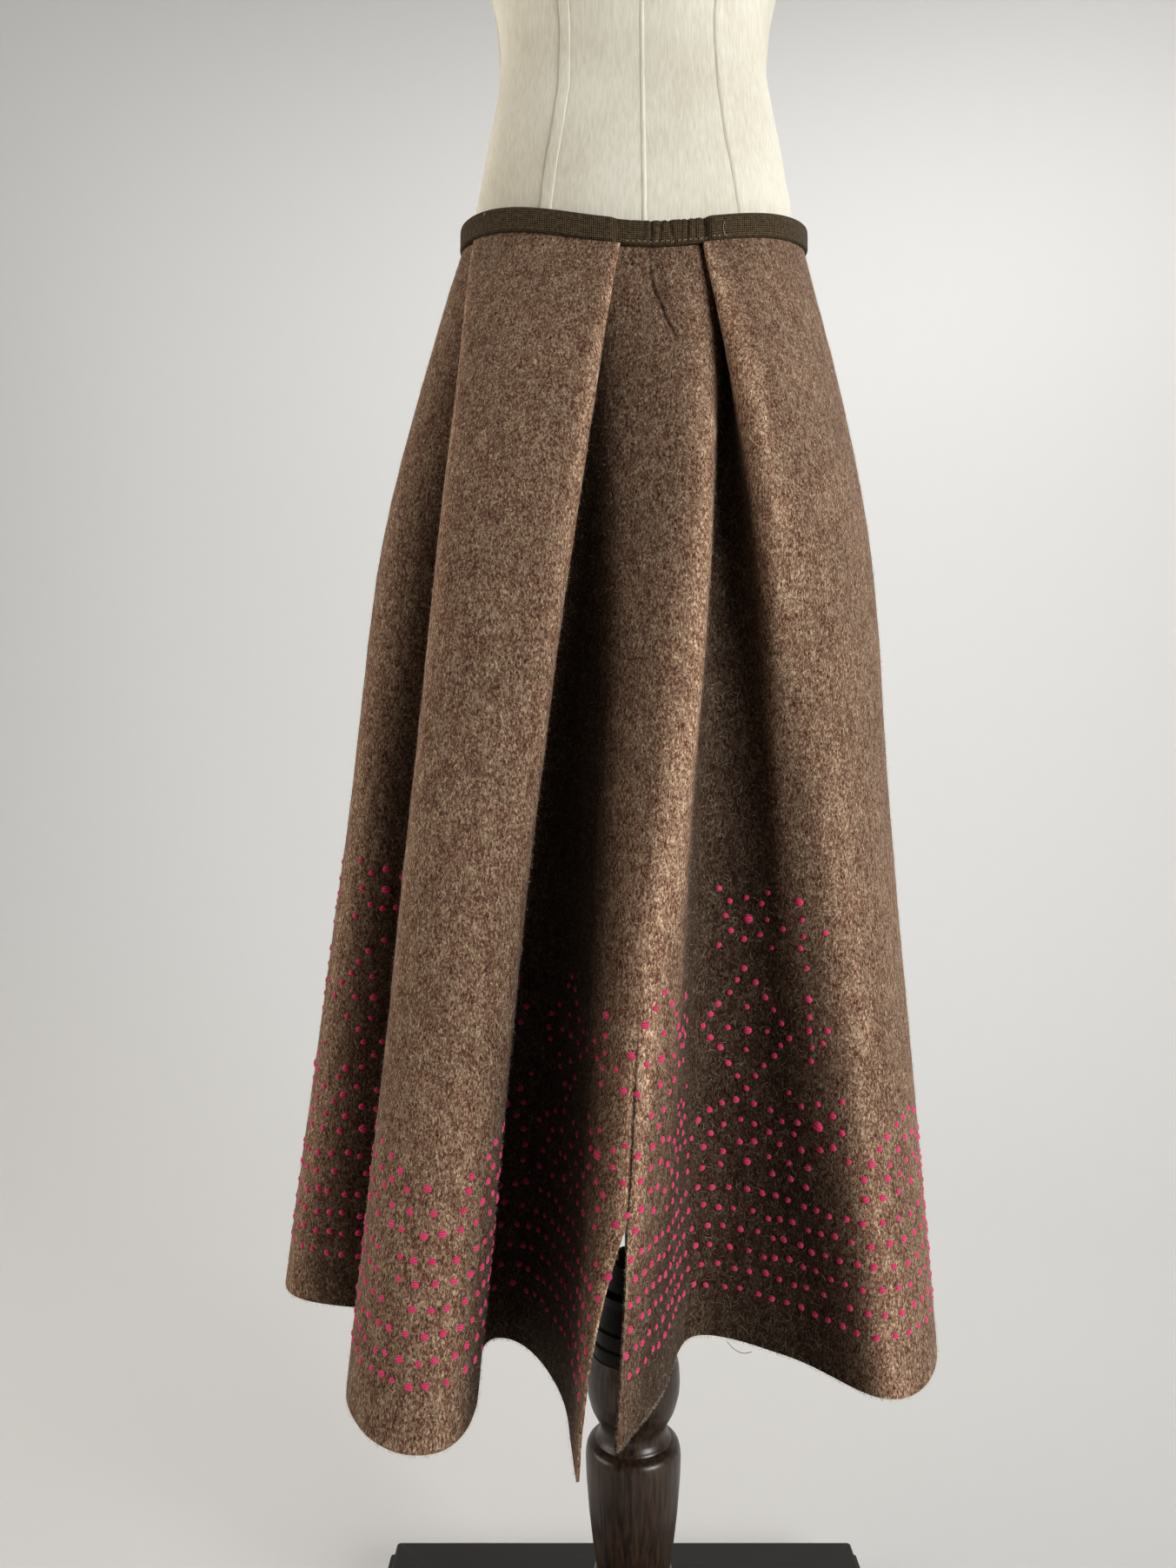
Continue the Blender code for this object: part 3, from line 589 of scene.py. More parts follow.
WAVES = (
    # height, size, stretch down the cloth, seed
    (1.3 * MM, 75 * MM, 0.5, 3.0),
    (0.35 * MM, 19 * MM, 1.0, 11.0),
)
FLAT_UNDER_BAND = 0.04
KINK_LIFT, KINK_FOLD, KINK_HEIGHT, KINK_SIZE, RIDGE_FOLD_WIDTH = (
    2.2 * MM, 2.2, 1.083, 11 * MM, 20 * MM)
SEAM_TOP, SEAM_FADE, SEAM_SINK, SEAM_SOFT = 0.70, 0.08, 0.8 * MM, 1.8 * MM
SEAM_PAST_SLIT = 0.004
lift = sum(height * slow_noise(cloth * (1.0, 1.0, stretch), size, seed)
           for height, size, stretch, seed in WAVES)
ridge = np.zeros_like(lift)
ridge[:, :FOLD_COLUMN[3]] = 1.0
crease_sinks, crease_shade = pressed_marks(cloth[..., 0], cloth[..., 2])
lift -= ridge * crease_sinks
kink_away = np.hypot((places[None, :] - KINK_FOLD) * RIDGE_FOLD_WIDTH,
                     cloth[..., 2] - KINK_HEIGHT)
lift += KINK_LIFT * ridge * np.exp(-(kink_away / KINK_SIZE) ** 2)
seam_arc = np.minimum(arc, arc[:, -1:] - arc)
above_slit = (shares < SLIT_SHARE + SEAM_PAST_SLIT)[:, None]
seam_shows = np.clip((SEAM_TOP - cloth[..., 2]) / SEAM_FADE, 0.0, 1.0) * above_slit
lift -= SEAM_SINK * np.exp(-(seam_arc / SEAM_SOFT) ** 2) * seam_shows
fade_in = np.clip(shares / FLAT_UNDER_BAND, 0.0, 1.0)[:, None]
cloth = cloth + out * (lift * fade_in)[..., None]
print("cloth moved by up to mm:", round(float(np.abs(lift).max()) / MM, 2))

# %% Both walls of the cloth
radius = 1.0 / np.maximum(np.abs(bending), 1e-6)
tight = np.minimum(np.minimum(radius, np.roll(radius, 1, axis=1)),
                   np.roll(radius, -1, axis=1))
pressed = np.clip(1.0 - shares / LEVEL_SHARES[1], 0.0, 1.0)[:, None]
wall = CLOTH_WALL + (PRESSED_WALL - CLOTH_WALL) * pressed
half_wall = np.minimum(wall / 2.0, TURN_KEEP * tight)
outer = cloth + out * half_wall[..., None]
inner = cloth - out * half_wall[..., None]
for wall_points in (outer, inner):
    top = wall_points[0]
    top[:, 2] = band_top_over(top[:, 0], top[:, 1]) - BAND_TALL - UNDER_BAND
print("thinnest half wall in mm:", round(float(half_wall.min()) / MM, 3))

# %% [markdown]
# Part of a pleated skirt's tone lies in its pleats. Cloth that turns outward is
# painted paler, the more the tighter it turns, partly as wear and partly as a
# painted highlight, and a place far behind the skirt's outline gets painted shade,
# as hardly any light reaches it. Both are measured on the grid, as shares from 0
# to 1, and so is the dark line of the seam and the painted shade of the creases.

# %% How much wear and highlight, seam or crease shade and fold shade each place gets
RUB_AND_HIGHLIGHT = (
    # strongest share, radius of the turn, where it starts
    (0.45, 4 * MM, 0.5),
    (0.65, 22 * MM, 0.3),
)
SEAM_LINE = 0.8 * MM
DEEP, DEEP_POWER = 38 * MM, 0.8
# Wear and painted highlight: the tighter an outward turn, the paler it is painted.
wear_and_highlight_share = np.max([most * np.clip(bending * turn - starts, 0.0, 1.0)
                       for most, turn, starts in RUB_AND_HIGHLIGHT], axis=0)
# The seam's own dark line, and painted shade along the creases of the ridge.
seam_and_crease_shade_share = np.maximum(np.exp(-(seam_arc / SEAM_LINE) ** 2) * seam_shows,
                        ridge * crease_shade)


def behind_hull(row_points):
    """How far each point of a section lies behind the section's convex outline."""
    turns = np.arange(0.0, 2.0 * math.pi, math.radians(2.0))
    facing = np.stack([np.cos(turns), np.sin(turns)], axis=1)
    reach = row_points[:, :2] @ facing.T
    return (reach.max(axis=0)[None, :] - reach).min(axis=1)


behind = np.array([behind_hull(row_points) for row_points in cloth])
# Painted shade: the farther a place lies behind the outline, the darker it is painted.
painted_fold_shade_share = np.clip(behind / DEEP, 0.0, 1.0) ** DEEP_POWER
print("deepest place behind the outline in mm:", round(float(behind.max()) / MM))

# %% [markdown]
# ## Cutting the grid into three panels
#
# A maker would sew a left front, a right front and a back, so each is its own
# closed piece: two walls, joined by the raw edges. The UV map holds the place on
# the cloth in metres.

# %% Helpers that make mesh objects


def mesh_object(name, points, faces, material, uv=None, attributes=None):
    """An object from points and faces, with smooth shading and face-corner UVs."""
    mesh = bpy.data.meshes.new(name)
    mesh.from_pydata([tuple(p) for p in points], [], faces)
    if uv is not None:
        corners = np.empty(len(mesh.loops), dtype=np.int32)
        mesh.loops.foreach_get("vertex_index", corners)
        layer = mesh.uv_layers.new(name="cloth")
        layer.data.foreach_set("uv", np.asarray(uv, dtype=np.float32)[corners].ravel())
    for key, values in (attributes or {}).items():
        layer = mesh.attributes.new(key, "FLOAT", "POINT")
        layer.data.foreach_set("value", np.asarray(values, dtype=np.float32).ravel())
    mesh.shade_smooth()
    mesh.materials.append(material)
    made = bpy.data.objects.new(name, mesh)
    bpy.context.scene.collection.objects.link(made)
    return made


def stacked(name, rings, material, sharp=None):
    """A closed body from rings of equally many points, with both ends filled."""
    levels, sides = len(rings), len(rings[0])
    faces = []
    for i in range(levels - 1):
        for k in range(sides):
            a, b = i * sides + k, i * sides + (k + 1) % sides
            faces.append((a, b, b + sides, a + sides))
    faces.append(tuple(range(sides - 1, -1, -1)))
    faces.append(tuple(range((levels - 1) * sides, levels * sides)))
    made = mesh_object(name, [p for points in rings for p in points], faces, material)
    if sharp is not None:
        made.data.set_sharp_from_angle(angle=math.radians(sharp))
    return made


def triangles(piece):
    """How many triangles a piece has."""
    return sum(len(face.vertices) - 2 for face in piece.data.polygons)


print("helpers ready")

# %% The three panels
SEAM_HALF_GAP = 0.04 * MM
SHARP_EDGE = 60.0


def cut_panel(name, first, last):
    """The piece of cloth between two fold lines, as one closed body."""
    first, last = FOLD_COLUMN[first], FOLD_COLUMN[last]
    cut = slice(first, last + 1)
    walls = []
    for wall_points in (outer, inner):
        piece = wall_points[:, cut].copy()
        piece[:, 0] += along[:, cut][:, 0] * SEAM_HALF_GAP
        piece[:, -1] -= along[:, cut][:, -1] * SEAM_HALF_GAP
        walls.append(piece.reshape(-1, 3))
    rows, count = len(shares), last - first + 1
    a = (np.arange(rows - 1)[:, None] * count + np.arange(count - 1)[None, :]).ravel()
    n = rows * count
    front = np.stack([a, a + count, a + count + 1, a + 1], axis=1)
    back = np.stack([a, a + 1, a + count + 1, a + count], axis=1) + n
    ends = []
    down, over = np.arange(rows - 1) * count, np.arange(count - 1)
    for e, step, flip in ((down, count, False), (down + count - 1, count, True),
                          (over, 1, True), ((rows - 1) * count + over, 1, False)):
        side = np.stack([e, e + n, e + n + step, e + step], axis=1)
        ends.append(side[:, ::-1] if flip else side)
    faces = np.vstack([front, back, *ends]).tolist()
    uv = np.stack([arc[:, cut], -drop[:, cut]], axis=2).reshape(-1, 2)
    # Painted on the felt: wear with a painted highlight, the seam line with painted crease
    # shade, and painted fold shade.
    paint = {"worn": wear_and_highlight_share, "sewn": seam_and_crease_shade_share, "sunk": painted_fold_shade_share}
    paint = {key: np.tile(share[:, cut].ravel(), 2) for key, share in paint.items()}
    paint["outside"] = np.concatenate([np.ones(n), np.zeros(n)])
    panel = mesh_object(name, np.vstack(walls), faces, felt, np.vstack([uv, uv]), paint)
    panel.data.set_sharp_from_angle(angle=math.radians(SHARP_EDGE))
    return panel


PANEL_CUTS = (
    # piece, first and last fold line
    ("cloth_front_right", 0, RIGHT_END),
    ("cloth_back", RIGHT_END, LEFT_START),
    ("cloth_front_left", LEFT_START, ALL_ROUND),
)
PANELS = [cut_panel(*row) for row in PANEL_CUTS]
front_right, back_panel, front_left = PANELS
print("panel triangles:", [triangles(panel) for panel in PANELS])

# %% [markdown]
# ## Loose hair on the felt
#
# Fulled wool is covered in fine curled hairs that stand off the cloth and blur
# its edges. Geometry Nodes are the right tool: points are scattered over the
# outer wall, and each gets a bent hair turned at random. Long curled hairs lie
# almost flat, short ones stand at any tilt. A hair is a narrow ribbon of a few
# faces, because there are thousands.

# %% Two hairs to scatter


def bent_ribbon(name, length, width, rise, curl, cuts):
    """A ribbon that lies along X, bent up by rise and sideways by curl."""
    points, faces = [], []
    for k in range(cuts + 1):
        s = k / cuts
        side = curl * length * math.sin(math.pi * s * 1.3)
        up = rise * length * math.sin(math.pi * (0.12 + 0.78 * s))
        half = width / 2.0 * (1.0 - 0.7 * abs(2.0 * s - 1.0) ** 3)
        points += [(length * (s - 0.5), side - half, up), (length * (s - 0.5), side + half, up)]
    for k in range(cuts):
        faces.append((2 * k, 2 * k + 2, 2 * k + 3, 2 * k + 1))
    made = mesh_object(name, points, faces, felt)
    made.hide_render = True
    return made


loose_wool, tree, shader = new_material("loose_wool_hair", 0.7, Sheen_Weight=0.3)
shader.inputs["Base Color"].default_value = linear("#B5A48D")
curled_hair = bent_ribbon("pattern_curled_hair", 6.5 * MM, 0.14 * MM, 0.12, 0.16, 3)
short_hair = bent_ribbon("pattern_short_hair", 3.2 * MM, 0.12 * MM, 0.45, 0.10, 2)
print("hair patterns ready")

# %% The tree that scatters hairs


def new_tree(name, sizes):
    """A Geometry Nodes tree with named inputs for its sizes, and its input node."""
    tree = bpy.data.node_groups.new(name, "GeometryNodeTree")
    ports = tree.interface
    ports.new_socket("Geometry", in_out="INPUT", socket_type="NodeSocketGeometry")
    for label, value in sizes.items():
        kind = "NodeSocketInt" if isinstance(value, int) else "NodeSocketFloat"
        ports.new_socket(label, in_out="INPUT", socket_type=kind).default_value = value
    ports.new_socket("Geometry", in_out="OUTPUT", socket_type="NodeSocketGeometry")
    return tree, add(tree, "NodeGroupInput")


def made_real(tree, copies, material):
    """Ends a tree: its copies become real geometry of one material."""
    real = add(tree, "GeometryNodeRealizeInstances", {"Geometry": copies.outputs[0]})
    dyed = add(tree, "GeometryNodeSetMaterial",
               {"Geometry": real.outputs[0], "Material": material})
    add(tree, "NodeGroupOutput", {0: dyed.outputs[0]})
    return tree


def scatter_tree(name, hair, material):
    """Geometry Nodes that lay one kind of hair over the outer wall of a panel."""
    tree, start = new_tree(name, {"Hairs per square metre": 1000.0,
                                  "Steepest tilt": 0.3, "Seed": 1})
    outside = add(tree, "GeometryNodeInputNamedAttribute", {"Name": "outside"},
                  data_type="FLOAT")
    density = add(tree, "ShaderNodeMath",
                  {0: outside.outputs[0], 1: start.outputs["Hairs per square metre"]},
                  operation="MULTIPLY")
    spread = add(tree, "GeometryNodeDistributePointsOnFaces",
                 {"Mesh": start.outputs["Geometry"], "Density": density.outputs[0],
                  "Seed": start.outputs["Seed"]})
    lowest = add(tree, "ShaderNodeMath", {0: start.outputs["Steepest tilt"], 1: -1.0},
                 operation="MULTIPLY")
    low = add(tree, "ShaderNodeCombineXYZ",
              {0: lowest.outputs[0], 1: lowest.outputs[0], 2: 0.0})
    high = add(tree, "ShaderNodeCombineXYZ",
               {0: start.outputs["Steepest tilt"], 1: start.outputs["Steepest tilt"],
                2: 2.0 * math.pi})
    turn = add(tree, "FunctionNodeRandomValue", {0: low.outputs[0], 1: high.outputs[0]},
               data_type="FLOAT_VECTOR")
    turned = add(tree, "FunctionNodeRotateRotation",
                 {0: spread.outputs["Rotation"], 1: turn.outputs[0]},
                 rotation_space="LOCAL")
    size = add(tree, "FunctionNodeRandomValue", {2: 0.5, 3: 1.35}, data_type="FLOAT")
    source = add(tree, "GeometryNodeObjectInfo", {"Object": hair})
    laid = add(tree, "GeometryNodeInstanceOnPoints",
               {"Points": spread.outputs["Points"], "Instance": source.outputs["Geometry"],
                "Rotation": turned.outputs[0], "Scale": size.outputs[1]})
    return made_real(tree, laid, material)


def grown(name, base, tree, values, material):
    """Runs a tree on a copy of base and keeps the result as a plain mesh object."""
    work = bpy.data.objects.new("work_" + name, base.data)
    bpy.context.scene.collection.objects.link(work)
    grower = work.modifiers.new("grow", "NODES")
    grower.node_group = tree
    sockets = {s.name: s.identifier for s in tree.interface.items_tree
               if s.in_out == "INPUT"}
    for label, value in values.items():
        grower[sockets[label]] = value
    ready = work.evaluated_get(bpy.context.evaluated_depsgraph_get())
    mesh = bpy.data.meshes.new_from_object(ready)
    mesh.name = name
    bpy.data.objects.remove(work, do_unlink=True)
    if not mesh.materials:
        mesh.materials.append(material)
    mesh.shade_smooth()
    made = bpy.data.objects.new(name, mesh)
    bpy.context.scene.collection.objects.link(made)
    return made


curled_tree = scatter_tree("scatter_curled_hair", curled_hair, loose_wool)
short_tree = scatter_tree("scatter_short_hair", short_hair, loose_wool)
print("trees ready")

# %% Hair on each panel
HAIR_KINDS = (
    # ending of the name, tree, hairs per square metre, steepest tilt, first seed
    ("_curled_hair", curled_tree, 16000.0, 0.25, 5),
    ("_short_hair", short_tree, 52000.0, 1.0, 15),
)
hair_pieces = {}
for number, panel in enumerate(PANELS):
    hair_pieces[panel.name] = [
        grown(panel.name + ending, panel, tree,
              {"Hairs per square metre": density, "Steepest tilt": tilt,
               "Seed": seed + number}, loose_wool)
        for ending, tree, density, tilt, seed in HAIR_KINDS]
    print(panel.name, "hair triangles", [triangles(p) for p in hair_pieces[panel.name]])

# %% [markdown]
# ## Finding a place on the cloth
#
# The embroidery is sewn flat, before the cloth is pleated. To follow that, each
# dot is placed in cloth measure: how far round the hem from the centre seam, and
# how high above the hem. This helper turns such a place into a point of the
# outer wall with its outward direction, through the grid's own arc lengths.

# %% From cloth measure to a point on the skirt
falls = np.gradient(outer, axis=0)
runs = np.gradient(outer, axis=1)
outward = np.cross(falls, runs)
outward /= np.linalg.norm(outward, axis=2, keepdims=True)
runs /= np.linalg.norm(runs, axis=2, keepdims=True)
ROW_COUNT, COLUMN_COUNT = arc.shape
COLUMNS = np.arange(COLUMN_COUNT)
hem_length = arc[-1, -1]


def grid_value(grid, row, column):
    """A grid's value between its rows and columns."""
    i = min(int(row), ROW_COUNT - 2)
    k = min(int(column), COLUMN_COUNT - 2)
    s, t = row - i, column - k
    return ((grid[i, k] * (1 - s) + grid[i + 1, k] * s) * (1 - t)
            + (grid[i, k + 1] * (1 - s) + grid[i + 1, k + 1] * s) * t)


def column_at(hem_place):
    """The grid column that lies a distance round the hem from the centre seam."""
    return float(np.interp(hem_place % hem_length, arc[-1], COLUMNS))


def fold_at(hem_place):
    """How many fold lines round from the centre seam a place on the hem lies."""
    return float(np.interp(column_at(hem_place), COLUMNS, places))


def row_at(column, height):
    """The grid row that lies a height above the hem, in one column."""
    k = min(int(round(column)), COLUMN_COUNT - 1)
    return float(np.interp(height, to_hem[::-1, k], np.arange(ROW_COUNT)[::-1]))


def on_cloth(hem_place, across, height):
    """Point, outward and sideways directions at a place in cloth measure."""
    middle = column = column_at(hem_place)
    row = row_at(middle, height)
    for _ in range(2):
        arcs = arc[min(int(round(row)), ROW_COUNT - 1)]
        target = (grid_value(arc, row, middle) + across) % arcs[-1]
        column = float(np.interp(target, arcs, COLUMNS))
        row = row_at(column, height)
    return [grid_value(grid, row, column) for grid in (outer, outward, runs)]


print("a point 10 cm above the hem:", on_cloth(0.3, 0.0, 0.1)[0].round(3))

# %% [markdown]
# ## The embroidery
#
# Pink dots of tapestry yarn, 5 to 6 mm wide, stand 12 mm apart. The design here
# is a simple border of its own: straight rows above the hem, then fans, rosettes,
# diamonds and sprigs, as many as the cloth has room for. Hand work wanders a
# little, so a fixed random seed shifts each dot and changes its size.

# %% Motifs as offsets from their middle
DOT_STEP = 12 * MM
ROW_STEP = 15 * MM
FIRST_ROW = 40 * MM
PERIOD = 0.152


def ring(count, size, start=0.0, sweep=2.0 * math.pi, closed=True):
    """Dots round an arc: offsets across and up, and the size of each dot."""
    last = count if closed else count - 1
    angles = [start + sweep * k / last for k in range(count)]
    return [(size * math.cos(a), size * math.sin(a), 1.0) for a in angles]


def fan():
    """Three half rings over a centre dot."""
    dots = [(0.0, 4 * MM, 1.25)]
    for size in (20 * MM, 35 * MM, 50 * MM):
        count = int(round(math.pi * size / DOT_STEP)) + 1
        dots += ring(count, size, 0.0, math.pi, closed=False)
    return dots


def rosette():
    """A big dot with a ring of eight, and four outside it."""
    outer_four = [(x, y, 0.85) for x, y, _ in ring(4, 29 * MM, math.pi / 4.0)]
    return [(0.0, 0.0, 1.5), *ring(8, 16 * MM), *outer_four]


def diamond():
    """A diamond's outline with a dotted cross inside it."""
    dots = [(0.0, 0.0, 1.3), (0.0, 16 * MM, 0.9), (0.0, -16 * MM, 0.9),
            (14 * MM, 0.0, 0.9), (-14 * MM, 0.0, 0.9)]
    for k in range(5):
        s = k / 5.0
        side, up = 34 * MM * (1 - s), 44 * MM * s
        dots += [(side, up, 1.0), (-side, -up, 1.0)]
        side, up = 34 * MM * s, 44 * MM * (1 - s)
        dots += [(-side, up, 1.0), (side, -up, 1.0)]
    return dots


def sprig():
    """A stalk of dots with two leaves."""
    stalk = [(0.0, k * 11 * MM, 0.9) for k in range(4)]
    leaves = [(side * (8 + 6 * k) * MM, (16 + 9 * k) * MM, 0.9)
              for side in (-1, 1) for k in range(2)]
    return stalk + leaves + [(0.0, 46 * MM, 1.2)]


print("dots in a fan, rosette, diamond, sprig:",
      [len(f()) for f in (fan, rosette, diamond, sprig)])

# %% Where the border's motifs go
FIELD = (
    # fold count, height of the highest motif above the hem
    (0.0, 0.28), (3.0, 0.30), (5.0, 0.36), (8.4, 0.36), (9.4, 0.24), (10.4, 0.17),
    (13.0, 0.19), (18.0, 0.24), (23.0, 0.33), (26.5, 0.36), (28.5, 0.34),
    (30.2, 0.23), (32.0, 0.17), (34.2, 0.17), (35.6, 0.33), (39.0, 0.34),
    (40.2, 0.28), (42.0, 0.28),
)
MOTIFS = (
    # shape, middle above the hem, shift along the hem in periods, its top
    (fan, 132 * MM, 0.0, 50 * MM),
    (rosette, 176 * MM, 0.5, 30 * MM),
    (diamond, 236 * MM, 0.0, 44 * MM),
    (sprig, 222 * MM, 0.5, 46 * MM),
    (rosette, 318 * MM, 0.0, 30 * MM),
    (sprig, 290 * MM, 0.5, 46 * MM),
)
FIRST_MOTIF = 0.25
ROWS_ALL_ROUND, ROWS_ON_BOX = 6, 9
BOX_FOLDS = (31.0, 35.2)
NARROWING = 0.24 / 0.33  # share of the hem's length that is lost in each metre up
field_counts, field_tops = zip(*FIELD)
wanted = []
periods = int(round(hem_length / PERIOD))
for k in range(periods):
    for shape, middle, shift, top in MOTIFS:
        hem_place = (k + shift + FIRST_MOTIF) * hem_length / periods
        if middle + top <= np.interp(fold_at(hem_place), field_counts, field_tops):
            wanted += [(hem_place, x, middle + y, size) for x, y, size in shape()]
for row in range(ROWS_ON_BOX):
    height = FIRST_ROW + row * ROW_STEP
    count = int(hem_length * (1.0 - NARROWING * height) / DOT_STEP)
    for k in range(count):
        hem_place = (k + 0.5 * (row % 2)) * hem_length / count
        if row < ROWS_ALL_ROUND or BOX_FOLDS[0] < fold_at(hem_place) < BOX_FOLDS[1]:
            wanted.append((hem_place, 0.0, height, 1.0))
print("dots wanted:", len(wanted))

# %% Each dot on the cloth


def turn_of(facing, sideways, spin):
    """Euler angles that face +Z outward and spin +X away from the cloth's run."""
    facing = Vector(facing).normalized()
    sideways = Vector(sideways)
    sideways = (sideways - facing * sideways.dot(facing)).normalized()
    other = facing.cross(sideways)
    x_axis = sideways * math.cos(spin) + other * math.sin(spin)
    y_axis = facing.cross(x_axis)
    from_columns = np.array([x_axis, y_axis, facing]).T
    return Vector((
        math.atan2(from_columns[2, 1], from_columns[2, 2]),
        math.asin(max(-1.0, min(1.0, -from_columns[2, 0]))),
        math.atan2(from_columns[1, 0], from_columns[0, 0])))


rng = np.random.default_rng(12)
WANDER, CLEAR_OF_SEAM, NEAREST_DOT = 0.9 * MM, 5 * MM, 8.5 * MM
SPIN, SMALLEST, LARGEST = 0.6, 0.86, 1.12
dots, dot_turns, dot_sizes = [], [], []
for hem_place, x, height, size in wanted:
    x += rng.normal(0.0, WANDER)
    height += rng.normal(0.0, WANDER)
    point, facing, sideways = on_cloth(hem_place, x, height)
    if abs(min(hem_place + x, hem_length - hem_place - x)) < CLEAR_OF_SEAM:
        continue
    if dots and np.linalg.norm(np.array(dots) - point, axis=1).min() < NEAREST_DOT:
        continue
    dots.append(point)
    dot_turns.append(turn_of(facing, sideways, rng.uniform(-SPIN, SPIN)))
    dot_sizes.append(size * rng.uniform(SMALLEST, LARGEST))
print("dots sewn:", len(dots))

# %% [markdown]
# One dot is a low oval cushion of yarn, ribbed by its strands. Geometry Nodes
# put a copy at every place, with the turn and size that the place carries.

# %% One dot and the tree that sews copies


def yarn_dot(name, half_long, half_wide, high, around=10):
    """A low oval cushion with ribs along X, open underneath."""
    points, faces, uv = [(0.0, 0.0, high)], [], [(0.0, 0.0)]
    for share in (0.42, 0.78, 1.0):
        for k in range(around):
            a = 2.0 * math.pi * k / around
            x, y = half_long * share * math.cos(a), half_wide * share * math.sin(a)
            rib = 0.12 * high * math.cos(2.0 * math.pi * y / STRAND) * (1.0 - share)
            z = high * math.sqrt(max(0.0, 1.0 - share**2.2)) + rib - 0.15 * high * share
            points.append((x, y, z))
            uv.append((y, x))
    for k in range(around):
        faces.append((0, 1 + k, 1 + (k + 1) % around))
    for ring_start in (1, 1 + around):
        for k in range(around):
            a, b = ring_start + k, ring_start + (k + 1) % around
            faces.append((a, a + around, b + around, b))
    made = mesh_object(name, points, faces, yarn, uv)
    made.hide_render = True
    return made


def sewing_tree(name, pattern, material):
    """Geometry Nodes that put a pattern at each point, by its turn and size."""
    tree, start = new_tree(name, {"Scale": 1.0})
    turn = add(tree, "GeometryNodeInputNamedAttribute", {"Name": "turn"},
               data_type="FLOAT_VECTOR")
    rotation = add(tree, "FunctionNodeEulerToRotation", {0: turn.outputs[0]})
    size = add(tree, "GeometryNodeInputNamedAttribute", {"Name": "size"},
               data_type="FLOAT")
    scaled = add(tree, "ShaderNodeMath",
                 {0: size.outputs[0], 1: start.outputs["Scale"]}, operation="MULTIPLY")
    source = add(tree, "GeometryNodeObjectInfo", {"Object": pattern})
    placed = add(tree, "GeometryNodeInstanceOnPoints",
                 {"Points": start.outputs["Geometry"],
                  "Instance": source.outputs["Geometry"],
                  "Rotation": rotation.outputs[0], "Scale": scaled.outputs[0]})
    return made_real(tree, placed, material)


def sewn(name, points, turns, sizes, pattern, material):
    """Copies of a pattern at points, as one plain mesh object."""
    base = mesh_object("base_" + name, points, [], material,
                       attributes={"size": sizes})
    layer = base.data.attributes.new("turn", "FLOAT_VECTOR", "POINT")
    layer.data.foreach_set("vector", np.array(turns, dtype=np.float32).ravel())
    tree = sewing_tree("sew_" + name, pattern, material)
    made = grown(name, base, tree, {"Scale": 1.0}, material)
    bpy.data.objects.remove(base, do_unlink=True)
    return made


dot_pattern = yarn_dot("pattern_dot", 2.8 * MM, 2.4 * MM, 1.1 * MM)
embroidery = sewn("embroidery_dots", dots, dot_turns, dot_sizes, dot_pattern, yarn)
print("embroidery triangles:", triangles(embroidery))

# %% [markdown]
# ## Raw edges
#
# The hem and the slit are simply cut, and the cut edge sheds short hairs. They
# are the same little ribbons, now set along the edge and pointing away from it.

# %% Hair along the hem and the slit
HEM_HAIRS, SLIT_HAIRS = 2600, 420
edge_points, edge_turns, edge_sizes = [], [], []


def note_edge_hair(row, column, away, scatter, longest, drop_by):
    """Notes one hair between the two walls of the cut edge, pointing away from it."""
    side = rng.uniform(0.0, 1.0)
    at_outer, at_inner = (grid_value(wall, row, column) for wall in (outer, inner))
    tilt = Vector(away) + Vector(rng.normal(0.0, scatter, 3))
    edge_points.append(at_outer * side + at_inner * (1.0 - side) - (0.0, 0.0, drop_by))
    edge_turns.append(turn_of(grid_value(outward, row, column), tilt, 0.0))
    edge_sizes.append(rng.uniform(0.5, longest))


for column in rng.uniform(0.0, COLUMN_COUNT - 1.001, HEM_HAIRS):
    note_edge_hair(ROW_COUNT - 1.0, column, (0.0, 0.0, -1.0), 0.75, 1.5, 0.5 * MM)
for _ in range(SLIT_HAIRS):
    row = rng.uniform(ROWS_TO_HIP + ROWS_TO_SLIT, ROW_COUNT - 1.001)
    column = rng.choice((0.0, COLUMN_COUNT - 1.0))
    away = grid_value(along, row, column) * (1.0 if column > 0.0 else -1.0)
    note_edge_hair(row, column, away, 0.6, 1.3, 0.0)
edge_hair = sewn("hem_and_slit_hair", edge_points, edge_turns, edge_sizes, short_hair,
                 loose_wool)
print("hairs on the raw edges:", len(edge_points))

# %% [markdown]
# ## The waistband
#
# A strip of linen tape is folded over the top of the pleats and stitched down.
# Its section is a thin upright loop with a rounded top, swept round the waist.
# At the front, between the two pleats, the tape is gathered into small uneven folds.

# %% The band's section, swept round the waist
BAND_PROUD, BAND_SIDE_WALL, BAND_RECESS = 2.0 * MM, 5.0 * MM, 3.0 * MM
GATHER_MIDDLE, GATHER_HALF, GATHER_SOFT = 7.0, 14.5, 2.6
TAPE_WAVE, FOLD_AT_FOOT, FOLD_RISE, EDGE_DIP = 0.35 * MM, 0.55, 0.6, 0.25
CLEAR_OF_FORM = 0.4 * MM
TAPE_FOLDS = (
    # degrees, half width in degrees, depth, lean from lower to upper edge in degrees
    (-2.2, 0.55, 0.5 * MM, -0.3), (1.2, 0.50, 0.6 * MM, 0.3), (3.6, 0.50, 1.6 * MM, 0.2),
    (6.4, 0.65, 1.3 * MM, 0.8), (9.9, 0.60, 2.0 * MM, -1.9), (12.9, 0.40, 0.8 * MM, 0.4),
    (14.9, 0.50, 1.7 * MM, 0.3), (17.4, 0.45, 1.0 * MM, -0.4), (20.6, 0.75, 2.2 * MM, -0.6),
)
